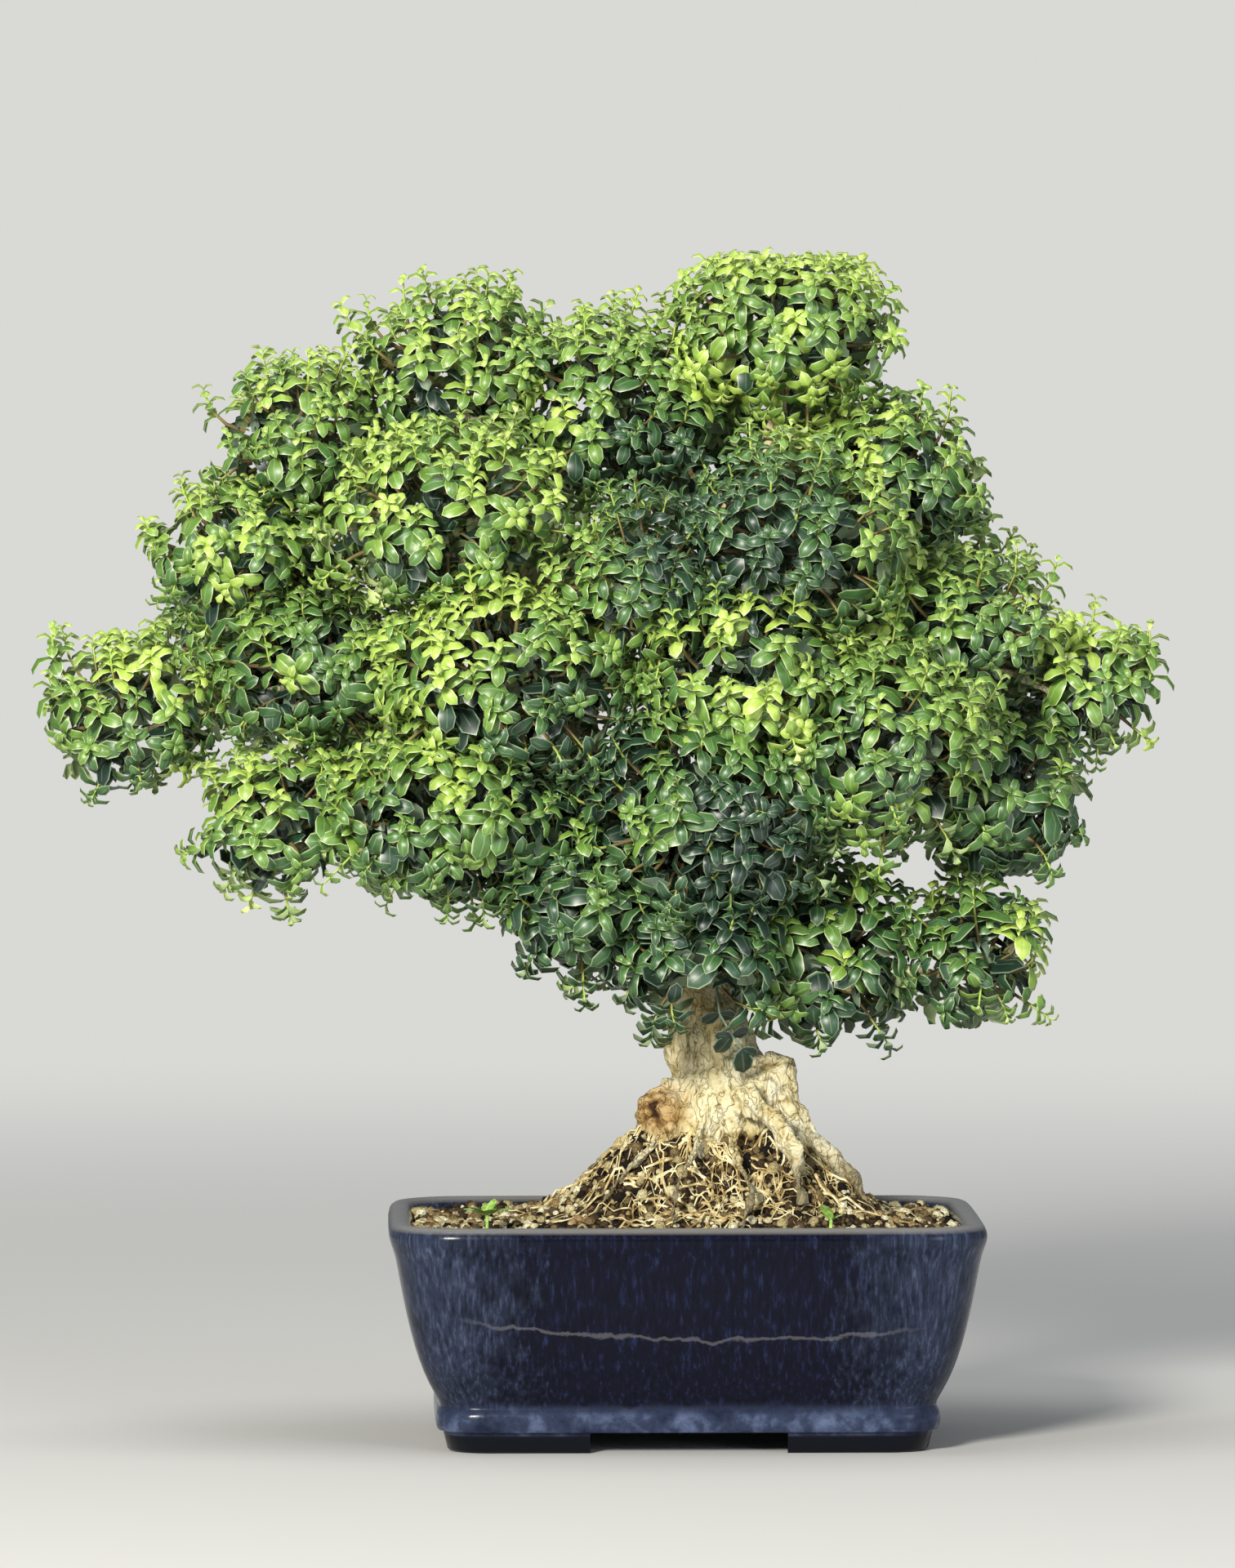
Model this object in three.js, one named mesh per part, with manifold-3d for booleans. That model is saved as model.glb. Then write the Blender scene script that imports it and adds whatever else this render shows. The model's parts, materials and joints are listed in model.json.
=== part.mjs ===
// A kingsville boxwood bonsai in its glazed pot, in millimetres, with +Z up and the viewer on the -Y side.
// The tree is one grown piece of wood, from its surface roots to its branch ends, and each branch end carries
// a pad of foliage. The wood stands in the soil, and the soil fills a stoneware pot over two drainage screens.
import * as THREE from "three";
import { mergeVertices } from "three/addons/utils/BufferGeometryUtils.js";
import Module from "manifold-3d";

const wasm = await Module();
wasm.setup();

// Driving dimensions
const GAP = 0.35; // left between two pieces that touch
const HAIR = 0.05; // shorter edges, left by cuts, are closed up
const POT_WIDTH = 152;
const POT_DEPTH = 118;
const POT_HEIGHT = 58;
const POT_CORNER = 19; // outside corner radius at the rim
const FOOT_HEIGHT = 5;
const FLOOR_TOP = 11.5; // inside floor of the pot
const SOIL_EDGE = 54; // soil level at the pot's wall
const MOUND_HEIGHT = 31; // how far the soil rises towards the trunk
const MOUND_CENTRE = [8, 0];
const MOUND_REACH = 37;
const MOUND_STEEPNESS = 2.6;
const LEAF_LENGTH = 24; // larger than life: a real leaf is 8 to 10 mm long
const LEAF_WIDTH = 14.5;
const LEAF_STAND = 9; // how far the leaves stand out of a pad's core

// Small helpers

// A seeded random number between 0 and 1.
function randomFrom(seed) {
  let state = seed >>> 0;
  return () => {
    state = (state + 0x6d2b79f5) >>> 0;
    let t = Math.imul(state ^ (state >>> 15), 1 | state);
    t = (t + Math.imul(t ^ (t >>> 7), 61 | t)) ^ t;
    return ((t ^ (t >>> 14)) >>> 0) / 4294967296;
  };
}

function vector([x, y, z]) {
  return new THREE.Vector3(x, y, z);
}

function solidOf(geometry) {
  const bare = geometry.clone();
  for (const name of Object.keys(bare.attributes)) {
    if (name !== "position") bare.deleteAttribute(name);
  }
  const merged = mergeVertices(bare, 1e-4);
  const mesh = new wasm.Mesh({
    numProp: 3,
    vertProperties: new Float32Array(merged.attributes.position.array),
    triVerts: new Uint32Array(merged.index.array),
  });
  return new wasm.Manifold(mesh);
}

// The faces that are left once every edge shorter than a hair is closed up to one of its ends.
function withoutSlivers(points, faces) {
  let kept = faces;
  for (let changed = true; changed;) {
    changed = false;
    const around = points.map(() => new Set());
    for (const face of kept) face.forEach((p, i) => around[p].add(face[(i + 1) % 3]));
    for (const [a, b] of kept.flatMap(([a, b, c]) => [[a, b], [b, c], [c, a]])) {
      if (points[a].distanceTo(points[b]) > HAIR) continue;
      const shared = [...around[a]].filter((p) => around[b].has(p)).length;
      if (shared !== 2) continue;
      kept = kept.map((face) => face.map((p) => (p === b ? a : p)));
      kept = kept.filter((face) => new Set(face).size === 3);
      changed = true;
      break;
    }
  }
  return kept;
}

function geometryOf(solid) {
  const mesh = solid.getMesh();
  const points = [];
  for (let i = 0; i < mesh.vertProperties.length; i += 3) {
    points.push(new THREE.Vector3(...mesh.vertProperties.slice(i, i + 3)));
  }
  const faces = [];
  for (let i = 0; i < mesh.triVerts.length; i += 3) faces.push([...mesh.triVerts.slice(i, i + 3)]);
  const corners = withoutSlivers(points, faces).flat().map((p) => points[p]);
  const geometry = new THREE.BufferGeometry().setFromPoints(corners);
  geometry.computeVertexNormals();
  return geometry;
}

// A closed mesh from points and faces, turned to face outwards.
function closedMesh(points, faces) {
  const geometry = new THREE.BufferGeometry();
  geometry.setAttribute("position", new THREE.Float32BufferAttribute(points.flatMap((p) => p.toArray()), 3));
  let volume = 0;
  for (const [a, b, c] of faces) volume += points[a].dot(points[b].clone().cross(points[c]));
  geometry.setIndex(volume < 0 ? faces.flatMap(([a, b, c]) => [a, c, b]) : faces.flat());
  return solidOf(geometry);
}

// A closed solid through rings of equally many points, with a fan over each end.
function loft(rings) {
  const count = rings[0].length;
  const points = rings.flat();
  const faces = [];
  for (let r = 0; r + 1 < rings.length; r++) {
    for (let i = 0; i < count; i++) {
      const j = (i + 1) % count;
      const [a, b, c, d] = [r * count + i, r * count + j, (r + 1) * count + j, (r + 1) * count + i];
      faces.push([a, b, c], [a, c, d]);
    }
  }
  for (const [ring, first, turn] of [[rings[0], 0, 1], [rings.at(-1), (rings.length - 1) * count, 0]]) {
    const middle = points.length;
    points.push(ring.reduce((sum, p) => sum.add(p), new THREE.Vector3()).divideScalar(count));
    for (let i = 0; i < count; i++) {
      const [a, b] = [first + i, first + ((i + 1) % count)];
      faces.push(turn ? [b, a, middle] : [a, b, middle]);
    }
  }
  return closedMesh(points, faces);
}

// The largest body of a solid: loose scraps go, and a sealed hollow is filled.
function oneBody(solid) {
  return solid.decompose().sort((a, b) => b.volume() - a.volume())[0];
}

// The pot: a rounded rectangle with gently curved walls, a rolled rim, a foot band and four corner feet.

// [height, inset from the rim's outline] of the outside, from the foot band up, and of the inside, down to
// the floor.
const POT_OUTSIDE = [
  [FOOT_HEIGHT, 13.5], [6.5, 11.8], [10, 11.9], [12, 13], [20, 8.6], [34, 4.6], [49, 1.8], [52.5, 0.4],
  [56, 0], [POT_HEIGHT, 1.6],
];
const POT_INSIDE = [[POT_HEIGHT, 5.2], [55, 7], [24, 11.8], [FLOOR_TOP, 17.5]];
const CORNER_STEPS = 4;
const CORNER_SHRINK = 0.6; // how much tighter a corner gets for each mm of inset
const TIGHTEST_CORNER = 6;

// The pot's outline at a height, as a ring of points.
function potRing(height, inset) {
  const radius = Math.max(POT_CORNER - inset * CORNER_SHRINK, TIGHTEST_CORNER);
  const [halfX, halfY] = [POT_WIDTH / 2 - inset - radius, POT_DEPTH / 2 - inset - radius];
  const ring = [];
  for (let corner = 0; corner < 4; corner++) {
    const centreX = corner === 0 || corner === 3 ? halfX : -halfX;
    const centreY = corner < 2 ? halfY : -halfY;
    for (let i = 0; i <= CORNER_STEPS; i++) {
      const angle = (corner + i / CORNER_STEPS) * (Math.PI / 2);
      ring.push(vector([centreX + radius * Math.cos(angle), centreY + radius * Math.sin(angle), height]));
    }
  }
  return ring;
}

function box(sizeX, sizeY, sizeZ, x, y, z) {
  return solidOf(new THREE.BoxGeometry(sizeX, sizeY, sizeZ).translate(x, y, z));
}

const HOLE_RADIUS = 7;
const HOLE_SIDES = 16;
const HOLE_X = 32;
const FOOT_SLOT_X = 50; // opening between the front feet
const FOOT_SLOT_Y = 40;
const FOOT_INSET = 15; // of the feet's outline at the ground, from the rim's
const FOOT_FLARE = 1.2; // how much the feet widen upwards
const FOOT_WIDTH = 9; // how far a foot runs in from its outline
const FOOT_BITE = 0.6; // how far the feet start inside the body

function makePot() {
  const rings = [...POT_OUTSIDE, ...POT_INSIDE].map(([height, inset]) => potRing(height, inset));
  let pot = loft(rings);
  const top = FOOT_HEIGHT + FOOT_BITE;
  const footOuter = loft([potRing(0, FOOT_INSET), potRing(top, FOOT_INSET - FOOT_FLARE)]);
  const inner = FOOT_INSET + FOOT_WIDTH;
  const footInner = loft([potRing(-1, inner), potRing(top + 1, inner - FOOT_FLARE)]);
  const slots = box(FOOT_SLOT_X, POT_DEPTH, 2 * FOOT_HEIGHT, 0, 0, 0)
    .add(box(POT_WIDTH, FOOT_SLOT_Y, 2 * FOOT_HEIGHT, 0, 0, 0));
  pot = pot.add(footOuter.subtract(footInner).subtract(slots));
  for (const side of [-1, 1]) {
    const drain = new THREE.CylinderGeometry(HOLE_RADIUS, HOLE_RADIUS, 2 * FLOOR_TOP, HOLE_SIDES);
    pot = pot.subtract(solidOf(drain.rotateX(Math.PI / 2).translate(side * HOLE_X, 0, FLOOR_TOP / 2)));
  }
  return pot;
}

// A square of plastic mesh over each drain hole, which keeps the soil in.
const SCREEN_SIZE = 24;
const SCREEN_THICK = 1.2;
const SCREEN_CELLS = 3;
const SCREEN_HOLE = 4.6;
const SCREEN_EDGE = 0.6; // the plain edge all round, both sides together, as a share of a cell

function makeScreen(side, grow = 0) {
  const [x, z] = [side * HOLE_X, FLOOR_TOP + GAP + SCREEN_THICK / 2];
  const sheet = box(SCREEN_SIZE + 2 * grow, SCREEN_SIZE + 2 * grow, SCREEN_THICK + 2 * grow, x, 0, z);
  if (grow) return sheet;
  const pitch = SCREEN_SIZE / (SCREEN_CELLS + SCREEN_EDGE);
  const cells = [];
  for (let cell = 0; cell < SCREEN_CELLS ** 2; cell++) {
    const column = (cell % SCREEN_CELLS) - (SCREEN_CELLS - 1) / 2;
    const row = Math.floor(cell / SCREEN_CELLS) - (SCREEN_CELLS - 1) / 2;
    cells.push(box(SCREEN_HOLE, SCREEN_HOLE, 3 * SCREEN_THICK, x + column * pitch, row * pitch, z));
  }
  return sheet.subtract(wasm.Manifold.union(cells));
}

// The wood: tapering limbs with a few sides each, fused into one.

// A tapering, slightly lumpy limb through stations of [x, y, z, radius].
function limb(stations, { sides = 6, steps = 5, grow = 0, lumps = 0, seed = 1 } = {}) {
  const curve = new THREE.CatmullRomCurve3(stations.map(vector), false, "centripetal");
  const radii = new THREE.CatmullRomCurve3(stations.map((s, i) => new THREE.Vector3(i, s[3], 0)));
  const random = randomFrom(seed);
  const rings = [];
  let side = new THREE.Vector3(1, 0, 0);
  for (let k = 0; k <= steps; k++) {
    const t = k / steps;
    const middle = curve.getPoint(t);
    const along = curve.getTangent(t);
    side = side.clone().addScaledVector(along, -side.dot(along)).normalize();
    const other = along.clone().cross(side);
    const radius = radii.getPoint(t).y;
    if (k === 0) middle.addScaledVector(along, -grow);
    if (k === steps) middle.addScaledVector(along, grow);
    const ring = [];
    for (let i = 0; i < sides; i++) {
      const angle = (2 * Math.PI * (i + 0.5 * (k % 2))) / sides;
      const reach = radius * (1 + lumps * (random() - 0.5)) + grow;
      const offset = side.clone().multiplyScalar(Math.cos(angle) * reach);
      ring.push(middle.clone().add(offset).addScaledVector(other, Math.sin(angle) * reach));
    }
    rings.push(ring);
  }
  return loft(rings);
}

// Trunk, its swollen base and the two leaders that it forks into: stations of [x, y, z, radius].
const TRUNK = [
  [9, 0, 46, 18], [9, 0, 62, 22], [9.5, 0, 76, 21.5], [9.5, 0, 86, 17.5], [9, 0, 94, 12.8], [6.5, 0, 102, 11],
  [4.5, 0, 112, 9.4], [2, 1, 124, 8.6], [1, 2, 132, 7],
];
const SWELLINGS = [
  [[19, -2, 96, 4.5], [21, -4, 89, 8], [22.5, -5, 80, 9.3], [24, -5, 62, 10]], // right shoulder, cut off square
  [[-1, -6, 91, 5], [-4, -8, 85, 8], [-5.5, -8, 75, 9], [-6, -8, 60, 9]], // left burl
  [[6, 10, 95, 6], [5, 14, 82, 8.5], [4, 16, 62, 9]],
];
const LEADERS = {
  left: [
    [2, 0, 112, 8.5], [-9, 2, 138, 7.6], [-23, 3, 166, 6.8], [-32, 4, 200, 5.6], [-41, 3, 236, 4.4],
    [-49, 2, 266, 3],
  ],
  right: [[4, 1, 116, 8], [12, 4, 146, 6.6], [17, 6, 185, 5.8], [18, 5, 226, 4.6], [25, 2, 270, 3]],
};
// Roots that show on the mound, thick ones first.
const ROOTS = [
  [[15, -15, 88, 5], [20, -24, 85, 3.4], [25, -29, 80, 2.9], [28, -32, 73, 2.5], [29, -34, 62, 2.2]],
  [[24, -8, 86, 5], [32, -11, 77, 3], [38, -13, 72.5, 2.4], [43, -15, 67, 2.2], [48, -17, 58, 2]],
  [[-4, -14, 80, 4], [-11, -21, 74, 2.4], [-18, -26, 67, 2.1], [-25, -31, 57, 2]],
  [[0, 16, 80, 6], [-8, 26, 71, 3.6], [-17, 34, 63, 2.6], [-25, 40, 54, 2.2]],
  [[18, 14, 82, 6], [27, 22, 73, 3.6], [35, 30, 63, 2.8], [42, 36, 54, 2.2]],
  [[-6, 4, 80, 4.5], [-16, 7, 75, 2.8], [-26, 11, 66, 2.2], [-37, 16, 56, 2]],
  [[4, -16, 80, 3.6], [2, -26, 75, 2.2], [-3, -34, 67, 2], [-4, -42, 58, 1.8]],
  [[13, -18, 79, 3], [12, -28, 74, 2], [16, -36, 66, 1.9], [13, -44, 57, 1.8]],
];

// Each pad of foliage: its middle, its half sizes, and where its branch starts, on a leader at a height or in
// another pad.
const PADS = [
  { name: "crown_left", at: [-57, 0, 268], half: [34, 30, 26], from: "left", height: 250 },
  { name: "crown_middle", at: [-18, 4, 263], half: [36, 34, 28], from: "right", height: 232 },
  { name: "crown_right", at: [20, 0, 278], half: [34, 30, 26], from: "right", height: 262 },
  { name: "shoulder_left", at: [-98, -2, 250], half: [33, 30, 25], from: "left", height: 228 },
  { name: "upper_left", at: [-112, -6, 227], half: [30, 30, 20], from: "low_left_inner" },
  { name: "low_left_inner", at: [-98, -8, 198], half: [36, 32, 24], from: "left", height: 190 },
  { name: "low_left_tip", at: [-141, -6, 184], half: [31, 27, 22], from: "low_left_inner" },
  { name: "front_left", at: [-62, -36, 232], half: [38, 28, 25], from: "left", height: 208 },
  { name: "front_left_low", at: [-48, -46, 200], half: [37, 27, 24], from: "left", height: 180 },
  { name: "front_middle", at: [-12, -50, 218], half: [24, 22, 24], from: "right", height: 172 },
  { name: "bottom_left_inner", at: [-66, -30, 158], half: [38, 32, 24], from: "left", height: 148 },
  { name: "bottom_left_tip", at: [-102, -26, 156], half: [28, 26, 18], from: "bottom_left_inner" },
  { name: "upper_right", at: [52, 0, 240], half: [27, 30, 27], from: "right", height: 205 },
  { name: "front_right_high", at: [28, -36, 230], half: [32, 26, 24], from: "right", height: 195 },
  { name: "right_inner", at: [70, -6, 204], half: [35, 32, 25], from: "right", height: 172 },
  { name: "right_tip", at: [99, -4, 192], half: [26, 24, 19], from: "right_inner" },
  { name: "front_tall", at: [14, -54, 194], half: [28, 24, 24], from: "right", height: 158 },
  { name: "front_right_low", at: [6, -46, 160], half: [32, 28, 27], from: "right", height: 136 },
  { name: "right_middle", at: [50, -36, 178], half: [33, 29, 27], from: "right", height: 150 },
  { name: "bottom_right", at: [82, -10, 163], half: [26, 28, 25], from: "right_middle" },
  { name: "skirt_left", at: [-27, -20, 137], half: [26, 26, 24], from: "left", height: 127 },
  { name: "skirt_front", at: [2, -32, 123], half: [25, 24, 22], from: "left", height: 119 },
  { name: "low_right_inner", at: [40, -14, 120], half: [28, 26, 20], from: "right", height: 122 },
  { name: "low_right_tip", at: [75, -12, 122], half: [26, 22, 17], from: "low_right_inner" },
  { name: "back_high_left", at: [-66, 40, 234], half: [38, 33, 27], from: "left", height: 205 },
  { name: "back_high", at: [16, 42, 252], half: [38, 32, 28], from: "right", height: 222 },
  { name: "back_high_right", at: [56, 42, 216], half: [36, 33, 27], from: "right", height: 185 },
  { name: "back_left", at: [-104, 34, 198], half: [36, 31, 25], from: "low_left_inner" },
  { name: "back_middle", at: [-24, 66, 208], half: [40, 32, 29], from: "left", height: 178 },
  { name: "back_right", at: [78, 38, 182], half: [34, 32, 25], from: "back_high_right" },
  { name: "back_low_left", at: [-62, 46, 164], half: [38, 34, 25], from: "left", height: 148 },
  { name: "back_low_right", at: [34, 58, 170], half: [38, 34, 27], from: "right", height: 146 },
  { name: "back_skirt", at: [2, 38, 137], half: [37, 30, 24], from: "left", height: 121 },
];

// The point where a leader's middle line passes a height.
function onLeader(stations, height) {
  const above = stations.findIndex((s) => s[2] > height);
  const [low, high] = [stations[above - 1], stations[above]];
  return vector(low).lerp(vector(high), (height - low[2]) / (high[2] - low[2]));
}

const BRANCH_RADIUS = 2.9;
const SIDE_BRANCH_RADIUS = 2.2; // of a branch that starts in another pad
const TWIG_RADIUS = 1.5;
const BRANCH_RISE = 0.08; // how far a branch bows upwards, as a share of its length
const BRANCH_END = 0.2; // how far under a pad's middle its branch ends, as a share of the half height

// A pad's branch ends inside its core.
function branchEnd(pad) {
  return vector(pad.at).add(vector([0, 0, -pad.half[2] * BRANCH_END]));
}

// The stations of the branch that carries a pad. It starts on a leader, or where another pad's branch ends.
function branchOf(pad) {
  const parent = PADS.find((other) => other.name === pad.from);
  const start = parent ? branchEnd(parent) : onLeader(LEADERS[pad.from], pad.height);
  const end = branchEnd(pad);
  const middle = start.clone().lerp(end, 0.5);
  middle.z += start.distanceTo(end) * BRANCH_RISE;
  const thick = parent ? SIDE_BRANCH_RADIUS : BRANCH_RADIUS;
  return [[...start, thick], [...middle, (thick + TWIG_RADIUS) / 2], [...end, TWIG_RADIUS]];
}

function makeWood(grow) {
  const parts = [limb(TRUNK, { sides: 10, steps: 9, lumps: 0.12, seed: 7, grow })];
  SWELLINGS.forEach((s, i) => parts.push(limb(s, { sides: 6, steps: 3, lumps: 0.16, seed: 20 + i, grow })));
  ROOTS.forEach((s, i) => parts.push(limb(s, { sides: 5, steps: 3, lumps: 0.1, seed: 40 + i, grow })));
  for (const stations of Object.values(LEADERS)) {
    parts.push(limb(stations, { sides: 6, steps: 5, lumps: 0.08, grow }));
  }
  for (const pad of PADS) parts.push(limb(branchOf(pad), { sides: 4, steps: 2, grow }));
  return wasm.Manifold.union(parts);
}

// The soil: it fills the pot and rises in a mound to the trunk, with coarse grains standing out of the top.

// The pot's inside inset at a height.
function insideInset(height) {
  const low = POT_INSIDE.findIndex(([z]) => z <= height);
  const [[z1, inset1], [z0, inset0]] = [POT_INSIDE[Math.max(low - 1, 0)], POT_INSIDE[low]];
  return z1 === z0 ? inset0 : inset0 + ((inset1 - inset0) * (height - z0)) / (z1 - z0);
}

function soilHeight(x, y) {
  const away = Math.hypot(x - MOUND_CENTRE[0], y - MOUND_CENTRE[1]) / MOUND_REACH;
  return SOIL_EDGE + MOUND_HEIGHT * Math.exp(-Math.pow(away, MOUND_STEEPNESS));
}

const SOIL_RINGS = 5;
const SOIL_ROUGHNESS = 1.4; // how far the soil's surface rises and falls
const GRAINS = 14;
const GRAIN_SIZE = [2, 3.4]; // smallest and largest half width
const GRAIN_MARGIN = 5; // kept free along the pot's wall

function makeSoil() {
  const random = randomFrom(11);
  const rings = [FLOOR_TOP + GAP, 24, 40, SOIL_EDGE].map((z) => potRing(z, insideInset(z) + GAP));
  const rim = rings.at(-1);
  for (let k = 1; k < SOIL_RINGS; k++) {
    const share = 1 - k / SOIL_RINGS;
    rings.push(rim.map((p) => {
      const x = MOUND_CENTRE[0] + (p.x - MOUND_CENTRE[0]) * share;
      const y = MOUND_CENTRE[1] + (p.y - MOUND_CENTRE[1]) * share;
      return vector([x, y, soilHeight(x, y) + SOIL_ROUGHNESS * (random() - 0.5)]);
    }));
  }
  const parts = [loft(rings)];
  const margin = insideInset(SOIL_EDGE) + GRAIN_MARGIN;
  for (let i = 0; i < GRAINS; i++) {
    const x = (random() - 0.5) * (POT_WIDTH - 2 * margin);
    const y = (random() - 0.5) * (POT_DEPTH - 2 * margin);
    const size = GRAIN_SIZE[0] + (GRAIN_SIZE[1] - GRAIN_SIZE[0]) * random();
    const grain = new THREE.OctahedronGeometry(size).rotateX(random() * Math.PI).rotateY(random() * Math.PI);
    parts.push(solidOf(grain.translate(x, y, soilHeight(x, y))));
  }
  return wasm.Manifold.union(parts);
}

// Foliage: a lumpy core inside each pad, with rosettes of two opposite pairs of leaves standing out of it.

const CORE_LUMPS = 0.16; // how much a core's radius varies

function padCore(pad, grow = 0) {
  const random = randomFrom(300 + PADS.indexOf(pad));
  const ball = new THREE.IcosahedronGeometry(1, 1).deleteAttribute("normal").deleteAttribute("uv");
  const shape = mergeVertices(ball, 1e-4);
  const position = shape.attributes.position;
  const reach = vector(pad.half.map((half) => half - LEAF_STAND + grow));
  for (let i = 0; i < position.count; i++) {
    const point = new THREE.Vector3().fromBufferAttribute(position, i).multiply(reach);
    point.multiplyScalar(1 + CORE_LUMPS * (random() - 0.5));
    position.setXYZ(i, point.x, point.y, point.z);
  }
  return solidOf(shape.translate(...pad.at));
}

// A leaf's outline and midrib: how far out, as a share of its length, and how high above the surface, in mm.
const NOTCH = { out: 0.2, up: 2.4 }; // between two leaves
const BROAD = { out: 0.58, up: 5 }; // where the leaf is widest
const RIDGE = { out: 0.52, up: 7.8 }; // top of the arched midrib
const TIP = { out: 1, up: 6 };
const CROWN_UP = 4.6; // where the leaves meet
const STALK_DEPTH = 3; // how far the rosette's stalk is sunk in
const PAIR_LIFT = 3; // how much higher the second pair stands
const PAIR_SHRINK = 0.9; // how long the second pair is beside the first

// A rosette of leaves whose pairs stand crosswise. The frame places a point of it, given as an angle, a
// distance out and a height.
function rosette(frame, spin, size, { leaves = 4, grow = 0 } = {}) {
  const points = [frame(0, 0, CROWN_UP * size + grow), frame(0, 0, -STALK_DEPTH)];
  const faces = [];
  const step = (2 * Math.PI) / leaves;
  const half = Math.atan(LEAF_WIDTH / 2 / (BROAD.out * LEAF_LENGTH));
  for (let i = 0; i < leaves; i++) {
    const angle = spin + i * step;
    const length = LEAF_LENGTH * size * (i % 2 ? PAIR_SHRINK : 1);
    const lift = (i % 2) * PAIR_LIFT;
    const [notch, left, tip, right, rib] = [0, 1, 2, 3, 4].map((k) => points.length + k);
    const nextNotch = i + 1 < leaves ? points.length + 5 : 2;
    points.push(
      frame(angle - step / 2, NOTCH.out * length + grow, (NOTCH.up - grow) * size),
      frame(angle - half, (BROAD.out * length) / Math.cos(half) + grow, (BROAD.up + lift) * size - grow),
      frame(angle, TIP.out * length + 2 * grow, (TIP.up + lift) * size),
      frame(angle + half, (BROAD.out * length) / Math.cos(half) + grow, (BROAD.up + lift) * size - grow),
      frame(angle, RIDGE.out * length, (RIDGE.up + lift) * size + grow),
    );
    faces.push([0, notch, rib], [notch, left, rib], [left, tip, rib]);
    faces.push([tip, right, rib], [right, nextNotch, rib], [nextNotch, 0, rib]);
    faces.push([notch, nextNotch, left], [nextNotch, right, left], [left, right, tip], [nextNotch, notch, 1]);
  }
  return closedMesh(points, faces);
}

// The frame of a rosette on a pad: it follows the curve of the pad's surface round a point of it.
function padFrame(pad, site) {
  const reach = vector(pad.half.map((half) => half - LEAF_STAND));
  const onSurface = site.clone().multiply(reach);
  const normal = site.clone().divide(reach).normalize();
  const east = new THREE.Vector3(1, 0, 0).addScaledVector(normal, -normal.x);
  if (east.lengthSq() < 0.1) east.set(0, 1, 0).addScaledVector(normal, -normal.y);
  east.normalize();
  const north = normal.clone().cross(east);
  return (angle, out, up) => {
    const point = onSurface.clone().addScaledVector(east, Math.cos(angle) * out);
    point.addScaledVector(north, Math.sin(angle) * out).divide(reach).normalize();
    const outward = point.clone().divide(reach).normalize();
    return point.multiply(reach).addScaledVector(outward, up).add(vector(pad.at));
  };
}

const ROSETTE_AREA = 1600; // pad surface for each rosette that is tried, mm2
const GOLDEN_ANGLE = Math.PI * (3 - Math.sqrt(5));
const TOP_SITE = 0.96; // heights of the first and the last rosette, as shares of a pad's half height
const LOW_SITE = -0.54;
const LARGEST_ROSETTE = 1.1;
const ROSETTE_TRIES = 14; // each try stands a little further from its site, and is a little smaller
const TRY_SHIFT = 0.09;
const TRY_SHRINK = 0.03;

// Where a pad's rosettes may grow: a spiral over its surface, open underneath.
function leafSites(pad) {
  const [rx, ry, rz] = pad.half;
  const area = (4 * Math.PI * (rx * ry + rx * rz + ry * rz)) / 3;
  const count = Math.round(area / ROSETTE_AREA);
  return Array.from({ length: count }, (_, i) => {
    const up = TOP_SITE + ((LOW_SITE - TOP_SITE) * i) / (count - 1);
    const flat = Math.sqrt(1 - up * up);
    const turn = i * GOLDEN_ANGLE + PADS.indexOf(pad);
    return new THREE.Vector3(flat * Math.cos(turn), flat * Math.sin(turn), up);
  });
}

function boxesMeet(a, b) {
  const [boxA, boxB] = [a.boundingBox(), b.boundingBox()];
  return [0, 1, 2].every((k) => boxA.min[k] < boxB.max[k] && boxB.min[k] < boxA.max[k]);
}

function meets(a, b) {
  return boxesMeet(a, b) && !a.intersect(b).isEmpty();
}

function makeFoliage(woodAround) {
  const wideCores = PADS.map((pad) => padCore(pad, 2 * GAP));
  const placed = []; // every rosette so far
  return PADS.map((pad, k) => {
    const random = randomFrom(900 + k);
    let core = padCore(pad);
    wideCores.forEach((other, j) => {
      if (j < k && boxesMeet(core, other)) core = core.subtract(other);
    });
    const parts = [oneBody(core)];
    for (const site of leafSites(pad)) {
      for (let attempt = 0; attempt < ROSETTE_TRIES; attempt++) {
        const shift = vector([random() - 0.5, random() - 0.5, random() - 0.5]);
        const frame = padFrame(pad, site.clone().addScaledVector(shift, TRY_SHIFT * attempt).normalize());
        const spin = random() * Math.PI;
        const size = LARGEST_ROSETTE - TRY_SHRINK * attempt;
        const blades = rosette(frame, spin, size);
        const wide = rosette(frame, spin, size, { grow: GAP }).add(blades);
        const blocked = wideCores.some((other, j) => j !== k && meets(wide, other)) ||
          placed.some((other) => meets(wide, other));
        if (blocked) continue;
        placed.push(blades);
        parts.push(blades);
        break;
      }
    }
    return oneBody(wasm.Manifold.union(parts).subtract(woodAround));
  });
}

// Two weed seedlings that came up in the soil: a short stem in a hole, and a few round leaves.
const SEEDLINGS = [
  { name: "seedling_left", at: [-51, -40], height: 3, leaves: 4, size: 0.28 },
  { name: "seedling_right", at: [35, -44], height: 4, leaves: 3, size: 0.3 },
];
const SEEDLING_SPIN = 0.4; // how far the first leaf is turned from +X
const STEM_RADIUS = 0.7;
const STEM_DEPTH = 5;

function makeStem({ at, height }, grow = 0) {
  const level = soilHeight(...at);
  const stations = [[...at, level - STEM_DEPTH, STEM_RADIUS], [...at, level + height, STEM_RADIUS]];
  return limb(stations, { sides: 6, steps: 1, grow });
}

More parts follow.
